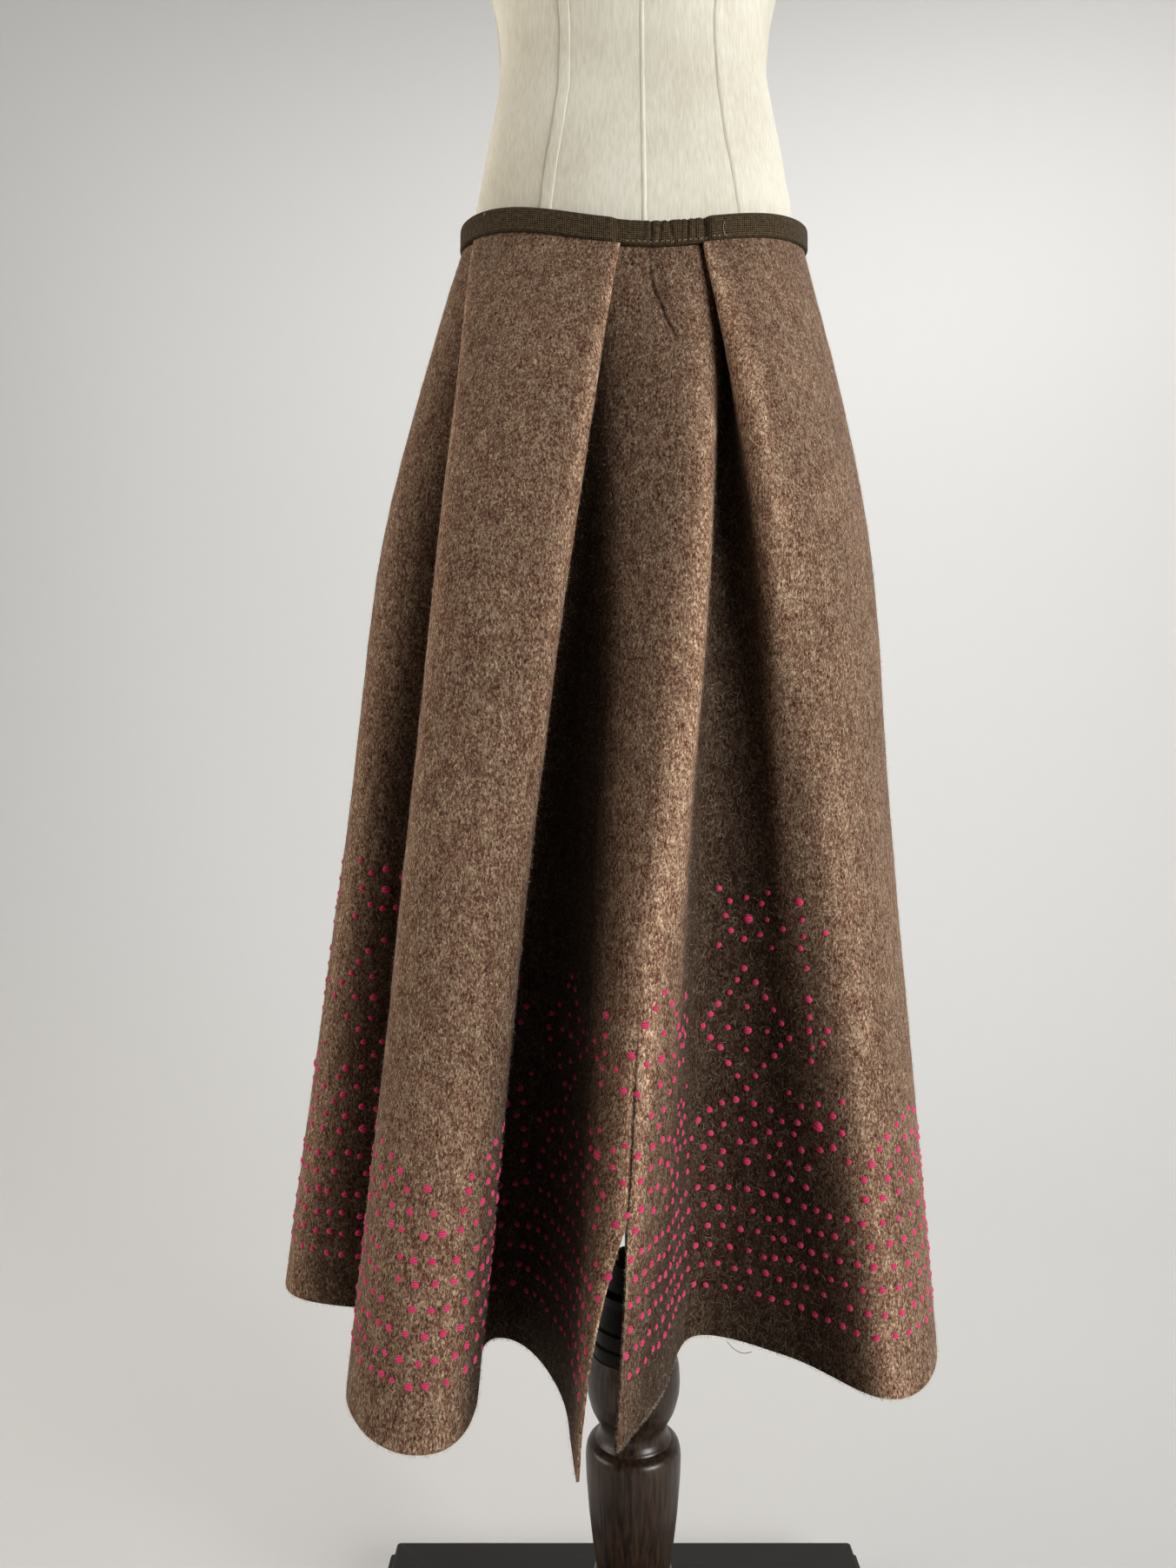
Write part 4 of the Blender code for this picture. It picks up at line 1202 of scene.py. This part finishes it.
FORM_SECTIONS = np.array((
    # height, half width, depth in front, depth behind
    (1.155, 0.1120, 0.0760, 0.0780), (1.159, 0.1290, 0.0880, 0.0900),
    (1.168, 0.1370, 0.0925, 0.0945), (1.190, 0.1390, 0.0945, 0.0960),
    (1.220, 0.1350, 0.0955, 0.0955), (1.250, 0.1325, 0.0955, 0.0950),
    (1.275, 0.1308, 0.0935, 0.0935), (1.300, 0.1290, 0.0912, 0.0912),
    (1.320, 0.1256, 0.0892, 0.0890), (1.345, 0.1213, 0.0870, 0.0863),
    (1.380, 0.1142, 0.0845, 0.0832), (1.415, 0.1090, 0.0835, 0.0815),
    (1.450, 0.1112, 0.0848, 0.0815), (1.480, 0.1170, 0.0885, 0.0830),
    (1.520, 0.1245, 0.0965, 0.0860), (1.560, 0.1305, 0.1070, 0.0890),
    (1.600, 0.1352, 0.1140, 0.0920), (1.640, 0.1392, 0.1125, 0.0945),
    (1.680, 0.1435, 0.1030, 0.0955), (1.720, 0.1490, 0.0915, 0.0930),
    (1.750, 0.1515, 0.0830, 0.0870), (1.775, 0.1420, 0.0745, 0.0780),
    (1.795, 0.1170, 0.0665, 0.0695), (1.812, 0.0860, 0.0590, 0.0620),
    (1.828, 0.0645, 0.0535, 0.0565), (1.846, 0.0560, 0.0500, 0.0530),
    (1.875, 0.0525, 0.0480, 0.0500),
))
BAND_SECTION = (
    # share of the height, share of the wall from inside to outside
    (0.00, 0.00), (0.00, 0.50), (0.00, 0.94), (0.03, 1.00), (0.12, 1.03),
    (0.30, 1.05), (0.50, 1.06), (0.70, 1.05), (0.84, 1.00), (0.92, 0.90),
    (0.97, 0.75), (1.00, 0.50), (0.985, 0.25), (0.94, 0.06), (0.85, 0.00), (0.40, 0.00),
)


def form_depth(height, forward):
    """How far forward the form reaches on one side, with a little clearance."""
    depths = FORM_SECTIONS[:, 2 if forward > 0.0 else 3]
    depth = float(np.interp(height, FORM_SECTIONS[:, 0], depths))
    return -(depth + CLEAR_OF_FORM) * forward


def gathered(degrees):
    """1 between the two front pleats, where the tape lies back, and 0 elsewhere."""
    away = (GATHER_HALF - abs(degrees - GATHER_MIDDLE)) / GATHER_SOFT
    share = min(1.0, max(0.0, away + 0.5))
    return share * share * (3.0 - 2.0 * share)


def band_place(degrees, up, share):
    """A point of the band's section at an angle."""
    angle = math.radians(degrees)
    window = gathered(degrees)
    pucker = sum(depth * math.exp(-((degrees - at - lean * (up - 0.5)) / half) ** 2)
                 for at, half, depth, lean in TAPE_FOLDS)
    wave = noise.noise(Vector((math.sin(angle), math.cos(angle), 0.3)) * 5.0)
    ripple = (TAPE_WAVE * wave - pucker * min(1.0, FOLD_AT_FOOT + FOLD_RISE * up)) * share
    inset = BAND_RECESS * window - ripple
    forward = math.cos(angle)
    depth = WAIST_FRONT_DEPTH if forward > 0.0 else WAIST_BACK_DEPTH
    height = float(band_top(angle)) - BAND_TALL * (1.0 - up)
    outside = np.array(((WAIST_HALF_WIDTH + BAND_PROUD - inset) * math.sin(angle),
                        -(depth + BAND_PROUD - inset) * forward, height))
    inside = np.array(((WAIST_HALF_WIDTH + BAND_PROUD - BAND_SIDE_WALL) * math.sin(angle),
                       form_depth(height, forward), height))
    point = inside + (outside - inside) * share
    edge = float(band_top_over(point[0], point[1])) - BAND_TALL * (1.0 - up)
    point[2] = edge - EDGE_DIP * pucker * up * up
    return point


BAND_ANGLES = np.concatenate([np.arange(-180.0, -9.0, 1.5), np.arange(-9.0, 24.0, 0.2),
                              np.arange(24.0, 180.0, 1.5)])
band_points = np.array([[band_place(a, up, share) for up, share in BAND_SECTION]
                        for a in BAND_ANGLES])
print("band points:", band_points.shape)

# %% The band as a closed ring
BAND_MIDDLE = 6
around, sides = len(BAND_ANGLES), len(BAND_SECTION)
faces = []
for i in range(around):
    for k in range(sides):
        a, b = i * sides, (i + 1) % around * sides
        faces.append((a + k, a + (k + 1) % sides, b + (k + 1) % sides, b + k))
middle_line = band_points[:, BAND_MIDDLE]
girth = np.concatenate([[0.0], np.cumsum(
    np.linalg.norm(np.diff(middle_line, axis=0), axis=1))])
profile = np.concatenate([[0.0], np.cumsum(
    np.linalg.norm(np.diff(band_points[0], axis=0), axis=1))])
band_uv = np.stack(np.meshgrid(girth, profile, indexing="ij"), axis=2).reshape(-1, 2)
band = mesh_object("waist_binding", band_points.reshape(-1, 3), faces, tape, band_uv)
print("waist round the band in metres:", girth[-1].round(3))

# %% [markdown]
# A run of small stitches holds the binding just above its lower edge. They are
# almost the colour of the tape, but near the centre a few have worn pale.

# %% Stitches along the binding
thread_dark, tree, shader = new_material("binding_thread_olive", 0.7, Sheen_Weight=0.2)
shader.inputs["Base Color"].default_value = linear("#4A4034")
thread_pale, tree, shader = new_material("binding_thread_worn", 0.7, Sheen_Weight=0.2)
shader.inputs["Base Color"].default_value = linear("#A89A86")


def stitch_pattern(name, long, thick):
    """A short thread that dips at both ends, six-sided."""
    rings = []
    for k in range(5):
        s = k / 4.0
        size = thick / 2.0 * (0.35 if k in (0, 4) else 1.0)
        z = thick * 0.6 * math.sin(math.pi * s) - thick * 0.25
        rings.append([(long * (s - 0.5), size * math.cos(a), z + size * math.sin(a))
                      for a in (math.pi * j / 3.0 for j in range(6))])
    made = stacked(name, rings, thread_dark)
    made.hide_render = True
    return made


stitch = stitch_pattern("pattern_stitch", 2.4 * MM, 0.45 * MM)
STITCHES, STITCH_UP, STITCH_PROUD, STITCH_SLANT = 204, 0.11, 1.035, 0.08
PALE_FROM, PALE_TO = -4.0, 27.0
rows = {"dark": ([], [], []), "pale": ([], [], [])}
for k in range(STITCHES):
    degrees = -180.0 + 360.0 * k / STITCHES
    kind = "pale" if PALE_FROM < degrees < PALE_TO else "dark"
    here, ahead = (band_place(degrees + d, STITCH_UP, STITCH_PROUD) for d in (0.0, 0.5))
    angle = math.radians(degrees)
    facing = (math.sin(angle), -math.cos(angle), 0.0)
    for values, value in zip(rows[kind],
                             (here, turn_of(facing, ahead - here, STITCH_SLANT), 1.0)):
        values.append(value)
stitch_pieces = [sewn("binding_stitches_" + kind, *rows[kind], stitch, material)
                 for kind, material in (("dark", thread_dark), ("pale", thread_pale))]
print("stitches:", {kind: len(r[0]) for kind, r in rows.items()})

# %% [markdown]
# ## Loose threads
#
# A few thread ends stand out in the photograph: two at the waist and one at the
# hem. Each is a thin tube swept along a short path.

# %% A tube along a path


def swept(name, path, radius, around, material):
    """A closed round tube along points, with its ends capped."""
    path = [Vector(p) for p in path]
    rings, side = [], None
    for i, here in enumerate(path):
        heading = (path[min(i + 1, len(path) - 1)] - path[max(i - 1, 0)]).normalized()
        if side is None:
            side = heading.orthogonal().normalized()
        side = (side - heading * side.dot(heading)).normalized()
        up = heading.cross(side)
        rings.append([here + radius * (side * math.cos(a) + up * math.sin(a))
                      for a in (2.0 * math.pi * k / around for k in range(around))])
    return stacked(name, rings, material)


def eased(corners, count):
    """Points on a smooth Catmull-Rom curve through corners."""
    ends = [2 * np.array(corners[0]) - corners[1], *map(np.array, corners),
            2 * np.array(corners[-1]) - corners[-2]]
    made = []
    for i in range(len(corners) - 1):
        a, b, c, d = ends[i:i + 4]
        for t in np.linspace(0.0, 1.0, count, endpoint=False):
            made.append(0.5 * (2 * b + (c - a) * t + (2 * a - 5 * b + 4 * c - d) * t**2
                               + (3 * b - a - 3 * c + d) * t**3))
    return [*made, np.array(corners[-1])]


TAIL_PROUD, LINT_PROUD = 1.15, 1.12
thread_tail = [band_place(degrees, up, TAIL_PROUD) for degrees, up in
               ((26.3, 0.60), (25.9, 0.42), (26.1, 0.24), (26.5, 0.09), (27.4, 0.06))]
lint = [band_place(degrees, up, LINT_PROUD) for degrees, up in
        ((-55.4, 0.72), (-54.9, 0.79), (-54.4, 0.78))]
hem_thread = [(0.066, -0.091, 0.4150), (0.071, -0.0945, 0.4112), (0.077, -0.0975, 0.4098),
              (0.083, -0.1000, 0.4120)]
thread_pieces = [
    swept("waist_thread", eased(thread_tail, 6), 0.24 * MM, 6, thread_pale),
    swept("waist_lint", eased(lint, 5), 0.35 * MM, 6, thread_pale),
    swept("hem_thread", eased(hem_thread, 6), 0.30 * MM, 6, loose_wool),
]
print("threads:", [p.name for p in thread_pieces])

# %% [markdown]
# ## The dress form
#
# The form is a limbless padded torso under a fitted calico cover. Ovals at many
# heights are joined into one smooth skin. The cover is sewn from upright
# gores, and each seam allowance shows as a low ridge that runs from hip to neck.

# %% The padded torso


def smooth_section(heights, column):
    """A column of the section table between its rows, smooth and never overshooting."""
    x, y = FORM_SECTIONS[:, 0], FORM_SECTIONS[:, column]
    secant = np.diff(y) / np.diff(x)
    product = secant[:-1] * secant[1:]
    mean = 2.0 * product / np.where(product > 0.0, secant[:-1] + secant[1:], 1.0)
    slope = np.concatenate([[secant[0]], np.where(product > 0.0, mean, 0.0), [secant[-1]]])
    k = np.clip(np.searchsorted(x, heights, side="right") - 1, 0, len(x) - 2)
    span = x[k + 1] - x[k]
    t = (heights - x[k]) / span
    return ((2 * t**3 - 3 * t**2 + 1) * y[k] + (t**3 - 2 * t**2 + t) * span * slope[k]
            + (3 * t**2 - 2 * t**3) * y[k + 1] + (t**3 - t**2) * span * slope[k + 1])


def form_skin(height, degrees, proud=0.0):
    """A point on the smooth skin of the form."""
    half_width, front, behind = (smooth_section(np.array([height]), k)[0] for k in (1, 2, 3))
    angle = math.radians(degrees)
    forward = math.cos(angle)
    depth = (front if forward > 0.0 else behind) + proud
    return np.array(((half_width + proud) * math.sin(angle), -depth * forward, height))


FORM_AROUND = 144
FORM_STEPS = (
    # from, to, levels: closer together where the form rounds off
    (1.155, 1.171, 9), (1.176, 1.740, 100), (1.745, 1.875, 44),
)
form_heights = np.concatenate([np.linspace(*row) for row in FORM_STEPS])
form_angles = np.radians(np.arange(FORM_AROUND) * 360.0 / FORM_AROUND)
widths, fronts, backs = (smooth_section(form_heights, k) for k in (1, 2, 3))
forward = np.cos(form_angles)
depths = np.where(forward > 0.0, fronts[:, None], backs[:, None])
form_points = np.stack([widths[:, None] * np.sin(form_angles), -depths * forward,
                        np.repeat(form_heights[:, None], FORM_AROUND, axis=1)], axis=2)
torso = stacked("form_cover", form_points, calico)
print("torso faces:", len(torso.data.polygons))

# %% The cover's raised seams
SEAM_HEIGHTS = (1.160, 1.265, 1.319, 1.360, 1.425, 1.600, 1.750, 1.820, 1.873)
SEAM_LINES = {
    # degrees from the front at each of those heights
    "centre_front": (1.8, 1.8, 1.6, 1.5, 1.5, 1.0, 0.5, 0.0, 0.0),
    "front_left": (-36.0, -33.5, -31.0, -29.6, -32.5, -41.0, -38.0, -34.0, -32.0),
    "front_right": (38.0, 36.0, 32.4, 31.6, 33.2, 41.0, 38.0, 34.0, 32.0),
    "side_left": (-92.0, -90.0, -90.0, -90.0, -90.0, -91.0, -88.0, -88.0, -90.0),
    "side_right": (92.0, 90.0, 90.0, 90.0, 90.0, 91.0, 88.0, 88.0, 90.0),
    "back_left": (-146.0, -149.0, -151.0, -151.0, -149.0, -143.0, -144.0, -147.0, -148.0),
    "back_right": (146.0, 149.0, 151.0, 151.0, 149.0, 143.0, 144.0, 147.0, 148.0),
    "centre_back": (180.0,) * 9,
}
FORM_RADIUS, WELT_LEVELS = 0.11, 110
ONE_FOLD = (
    # millimetres across the seam, millimetres proud of the form
    (-2.6, -0.6), (-1.5, 0.15), (-0.8, 0.9), (0.0, 1.25), (0.8, 0.9), (1.5, 0.15),
    (2.6, -0.6),
)
WIDE_FOLD = (
    # millimetres across the seam, millimetres proud of the form
    (-2.4, -0.6), (-1.0, 0.2), (-0.2, 1.2), (0.8, 1.3), (3.4, 1.0), (6.0, 0.9),
    (7.2, 0.6), (8.2, -0.6),
)


def welt(name, degrees, profile):
    """A seam allowance pressed to one side under the cover, as a low closed ridge."""
    rings = []
    for height in np.linspace(SEAM_HEIGHTS[0], SEAM_HEIGHTS[-1], WELT_LEVELS):
        middle = float(np.interp(height, SEAM_HEIGHTS, degrees))
        rings.append([form_skin(height, middle + math.degrees(across * MM / FORM_RADIUS),
                                proud * MM) for across, proud in profile])
    return stacked(name, rings, calico)


seam_pieces = [welt("form_seam_" + name, degrees,
                    WIDE_FOLD if name.startswith("front") else ONE_FOLD)
               for name, degrees in SEAM_LINES.items()]
print("seams of the cover:", len(seam_pieces))

# %% [markdown]
# ## The turned stand
#
# A lathe cuts the post, so each turned piece is an outline spun about the axis.
# Real turning has no perfectly sharp corner, and the light on small rounded
# edges is what makes it look turned. The outline's corners are therefore eased
# before it is spun.

# %% A lathe with eased corners


def eased_outline(outline, ease):
    """The outline with each corner replaced by a short curve."""
    points = [Vector((r, h)) for h, r in outline]
    made = [points[0]]
    for before, corner, after in zip(points, points[1:], points[2:]):
        into, onward = before - corner, after - corner
        start = corner + into * min(0.45, ease / into.length)
        stop = corner + onward * min(0.45, ease / onward.length)
        for t in (0.0, 0.33, 0.67, 1.0):
            made.append(start.lerp(corner, t).lerp(corner.lerp(stop, t), t))
    return [*made, points[-1]]


def lathed(name, outline, material, ease=3.0 * MM, around=72):
    """A closed turned piece, from heights and radii."""
    angles = [2.0 * math.pi * k / around for k in range(around)]
    rings = [[(p.x * math.sin(a), -p.x * math.cos(a), p.y) for a in angles]
             for p in eased_outline(outline, ease)]
    return stacked(name, rings, material, sharp=50.0)


POST_OUTLINE = (
    # height, radius
    (0.0388, 0.0400), (0.0480, 0.0400), (0.0560, 0.0365), (0.0640, 0.0300),
    (0.1000, 0.0262), (0.1500, 0.0258), (0.1700, 0.0275), (0.1750, 0.0325),
    (0.1800, 0.0325), (0.1830, 0.0300), (0.2022, 0.0330), (0.2320, 0.0366),
    (0.2600, 0.0388), (0.2780, 0.0394), (0.2860, 0.0380), (0.2892, 0.0340),
    (0.2900, 0.0312), (0.2914, 0.0306), (0.2930, 0.0292), (0.2978, 0.0272),
    (0.3040, 0.0282), (0.3160, 0.0346), (0.3290, 0.0380), (0.3390, 0.0386),
    (0.3520, 0.0378), (0.3620, 0.0345),
)
COLLAR_OUTLINE = (
    # height, radius
    (0.3623, 0.0338), (0.3720, 0.0338), (0.3740, 0.0318), (0.3850, 0.0318),
    (0.3870, 0.0300), (0.4050, 0.0262), (0.4120, 0.0262), (0.4160, 0.0225),
    (0.4360, 0.0190), (0.4408, 0.0170),
)
CAP_OUTLINE = (
    # height, radius
    (1.8753, 0.0470), (1.8790, 0.0500), (1.8850, 0.0500), (1.8880, 0.0460),
    (1.8910, 0.0240), (1.8960, 0.0160), (1.9020, 0.0170), (1.9090, 0.0155),
    (1.9130, 0.0110), (1.9150, 0.0050),
)
ROD_OUTLINE = (
    # height, radius
    (0.4411, 0.0070), (0.7000, 0.0070), (1.1547, 0.0070),
)
post = lathed("turned_post", POST_OUTLINE, post_wood)
collar = lathed("rod_collar", COLLAR_OUTLINE, steel, ease=0.6 * MM)
cap = lathed("neck_cap", CAP_OUTLINE, post_wood, ease=1.0 * MM)
rod = lathed("steel_rod", ROD_OUTLINE, steel, ease=0.1 * MM, around=40)
print("turned pieces:", [o.name for o in (post, collar, cap, rod)])

# %% [markdown]
# The base is two boards, the upper one with a shallow groove near its rim. A
# square outline with rounded corners is stacked by height, as the lathe does
# with circles.

# %% The boards of the base


def planed(name, outline, material, corner=2.5 * MM):
    """A square board with rounded corners, from heights and half sides."""
    rings = []
    for height, half in outline:
        rings.append([])
        for quarter, (right, back) in enumerate(((1, 1), (-1, 1), (-1, -1), (1, -1))):
            for k in range(5):
                a = math.pi / 2.0 * (quarter + k / 4.0)
                rings[-1].append(((half - corner) * right + corner * math.cos(a),
                                  (half - corner) * back + corner * math.sin(a), height))
    return stacked(name, rings, material, sharp=25.0)


LOWER_OUTLINE = (
    # height, half side
    (0.0000, 0.2425), (0.0008, 0.2437), (0.0020, 0.2445), (0.0180, 0.2445),
    (0.0194, 0.2439), (0.0200, 0.2425),
)
UPPER_OUTLINE = (
    # height, half side
    (0.0203, 0.2335), (0.0350, 0.2365), (0.0363, 0.2362), (0.0375, 0.2352),
    (0.0385, 0.2335), (0.0385, 0.1742), (0.0373, 0.1735), (0.0373, 0.1727),
    (0.0385, 0.1720),
)
plinth = planed("base_lower_board", LOWER_OUTLINE, board_wood)
board = planed("base_upper_board", UPPER_OUTLINE, board_wood)
print("base boards ready")

# %% [markdown]
# ## Riding on the frame
#
# The part has no joint, so every piece rides on its one body. Each fine piece
# hides the CAD node it stands for, and the size each panel of cloth was cut to,
# before it was sewn and hung, is worked out and printed.

# %% Bodies and nodes
for pattern in (curled_hair, short_hair, dot_pattern, stitch):
    bpy.data.objects.remove(pattern, do_unlink=True)
STANDS_FOR = (
    # piece, CAD node, material slot
    (front_right, "skirt_front_right", "felted_wool"),
    (back_panel, "skirt_back", "felted_wool"),
    (front_left, "skirt_front_left", "felted_wool"),
    (band, "waistband", "linen_tape"),
    (torso, "form_torso", "calico"),
    (cap, "form_neck_cap", "dark_wood"),
    (rod, "stand_rod", "black_metal"),
    (collar, "stand_collar", "black_metal"),
    (post, "stand_post", "dark_wood"),
    (board, "base_board", "dark_wood"),
    (plinth, "base_plinth", "dark_wood"),
)
for piece, node, slot_name in STANDS_FOR:
    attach(piece, "root")
    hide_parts(node)
hair = [p for pieces in hair_pieces.values() for p in pieces]
NO_NODE = {
    # slot, or none for what has a colour of its own
    "calico": seam_pieces,
    "felted_wool": [*hair, edge_hair],
    "": [*stitch_pieces, *thread_pieces, embroidery],
}
for slot_name, pieces in NO_NODE.items():
    for piece in pieces:
        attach(piece, "root")
print("pieces riding:", len(STANDS_FOR) + sum(len(p) for p in NO_NODE.values()))

# %% Cut sizes of the panels
CUT_LENGTH = 0.845
sewn_on = {"cloth_front_right": [band, *stitch_pieces, *thread_pieces, embroidery,
                                 edge_hair]}
for panel, (name, first, last) in zip(PANELS, PANEL_CUTS):
    area = sum(f.area for f in panel.data.polygons) / 2.0
    hem_width = float(arc[-1, FOLD_COLUMN[last]] - arc[-1, FOLD_COLUMN[first]])
    width = max(hem_width, area / CUT_LENGTH)
    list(sewn_on.get(name, []))
    print(name, "cut", round(width, 3), "by", CUT_LENGTH, "area", round(area, 3))

# %% [markdown]
# ## Light and camera
#
# The photograph was taken indoors in soft daylight. Most of it comes from a
# window in front on the right and less from the left, and the wall behind is lit
# by itself. A black card in front on the left keeps the box pleat from going
# flat, as a photographer would do, and the camera doesn't see it. A round studio
# with a coved wall gives each view the same pale backdrop. The camera stands
# level, 0.9 m in front of the post, as the lines of the photograph show.

# %% The studio
FLOOR_HEIGHT, COVE_START, COVE_RADIUS, WALL_TOP = -0.8 * MM, 1.5, 2.2, 4.6
STUDIO_SIDES, COVE_STEPS, FLOOR_RINGS = 96, 12, (0.6, 1.4)
studio, tree, shader = new_material("studio_paint", 0.95, Specular_IOR_Level=0.1)
shader.inputs["Base Color"].default_value = linear("#C8C7C5")
cove = [(r, FLOOR_HEIGHT) for r in FLOOR_RINGS]
for k in range(COVE_STEPS + 1):
    a = math.pi / 2.0 * k / COVE_STEPS
    cove.append((COVE_START + COVE_RADIUS * math.sin(a),
                 COVE_RADIUS * (1.0 - math.cos(a)) + FLOOR_HEIGHT))
cove.append((COVE_START + COVE_RADIUS, WALL_TOP))
turns = [2.0 * math.pi * k / STUDIO_SIDES for k in range(STUDIO_SIDES)]
points, faces = [(0.0, 0.0, FLOOR_HEIGHT)], []
for r, z in cove:
    points += [(r * math.sin(turn), -r * math.cos(turn), z) for turn in turns]
for k in range(STUDIO_SIDES):
    faces.append((0, 1 + k, 1 + (k + 1) % STUDIO_SIDES))
for i in range(len(cove) - 1):
    for k in range(STUDIO_SIDES):
        a, b = (1 + i * STUDIO_SIDES + j % STUDIO_SIDES for j in (k, k + 1))
        faces.append((a, a + STUDIO_SIDES, b + STUDIO_SIDES, b))
backdrop = mesh_object("studio_backdrop", points, faces, studio)
print("studio radius in metres:", cove[-1][0])

# %% Lamps and the black card
LAMPS = (
    # name, place, target, side, watts, colour
    ("window_right", (1.50, -1.52, 1.16), (0.0, 0.0, 0.90), 0.9, 36.5, "#FFFFFF"),
    ("side_left", (-2.3, -0.20, 1.60), (0.0, 0.0, 1.05), 1.7, 32.0, "#FFF8F0"),
    ("wall_wash", (0.7, 0.9, 3.2), (0.1, 3.1, 1.7), 2.0, 82.0, "#FFFFFF"),
)
CARD_CORNERS = [(-2.0, -1.2, 0.4), (0.4, -1.5, 0.4), (0.4, -1.5, 2.8), (-2.0, -1.2, 2.8)]
for name, stand_at, target, side, watts, colour in LAMPS:
    lamp = bpy.data.lights.new(name, "AREA")
    lamp.shape = "SQUARE"
    lamp.size = side
    lamp.energy = watts
    lamp.color = linear(colour)[:3]
    soft_lamp = bpy.data.objects.new(name, lamp)
    soft_lamp.location = stand_at
    aim = Vector(target) - Vector(stand_at)
    soft_lamp.rotation_euler = aim.to_track_quat("-Z", "Y").to_euler()
    soft_lamp.visible_camera = False
    bpy.context.scene.collection.objects.link(soft_lamp)
card_paint, tree, shader = new_material("black_card", 0.9)
shader.inputs["Base Color"].default_value = linear("#161514")
card = mesh_object("black_card", CARD_CORNERS, [(0, 1, 2, 3)], card_paint)
card.visible_camera = False
print("lamps:", [row[0] for row in LAMPS])

# %% Sky and camera
SKY, SKY_STRENGTH = "#EDEFF2", 0.16
EYE, LENS, FILM_SIDE, NEAR = (-0.0374, -0.90, 0.83), 24.96, 36.0, 0.02
world = bpy.data.worlds.new("pale_sky")
world.use_nodes = True
sky = world.node_tree.nodes["Background"]
sky.inputs[0].default_value = linear(SKY)
sky.inputs[1].default_value = SKY_STRENGTH
bpy.context.scene.world = world
bpy.context.scene.view_settings.view_transform = "Standard"
bpy.context.scene.view_settings.look = "Medium High Contrast"

lens = bpy.data.cameras.new("photo_camera")
lens.sensor_width = FILM_SIDE
lens.lens = LENS
lens.clip_start = NEAR
photo_camera = bpy.data.objects.new("photo_camera", lens)
photo_camera.location = EYE
photo_camera.rotation_euler = (math.radians(90.0), 0.0, 0.0)
bpy.context.scene.collection.objects.link(photo_camera)
bpy.context.scene.camera = photo_camera
print("camera ready")
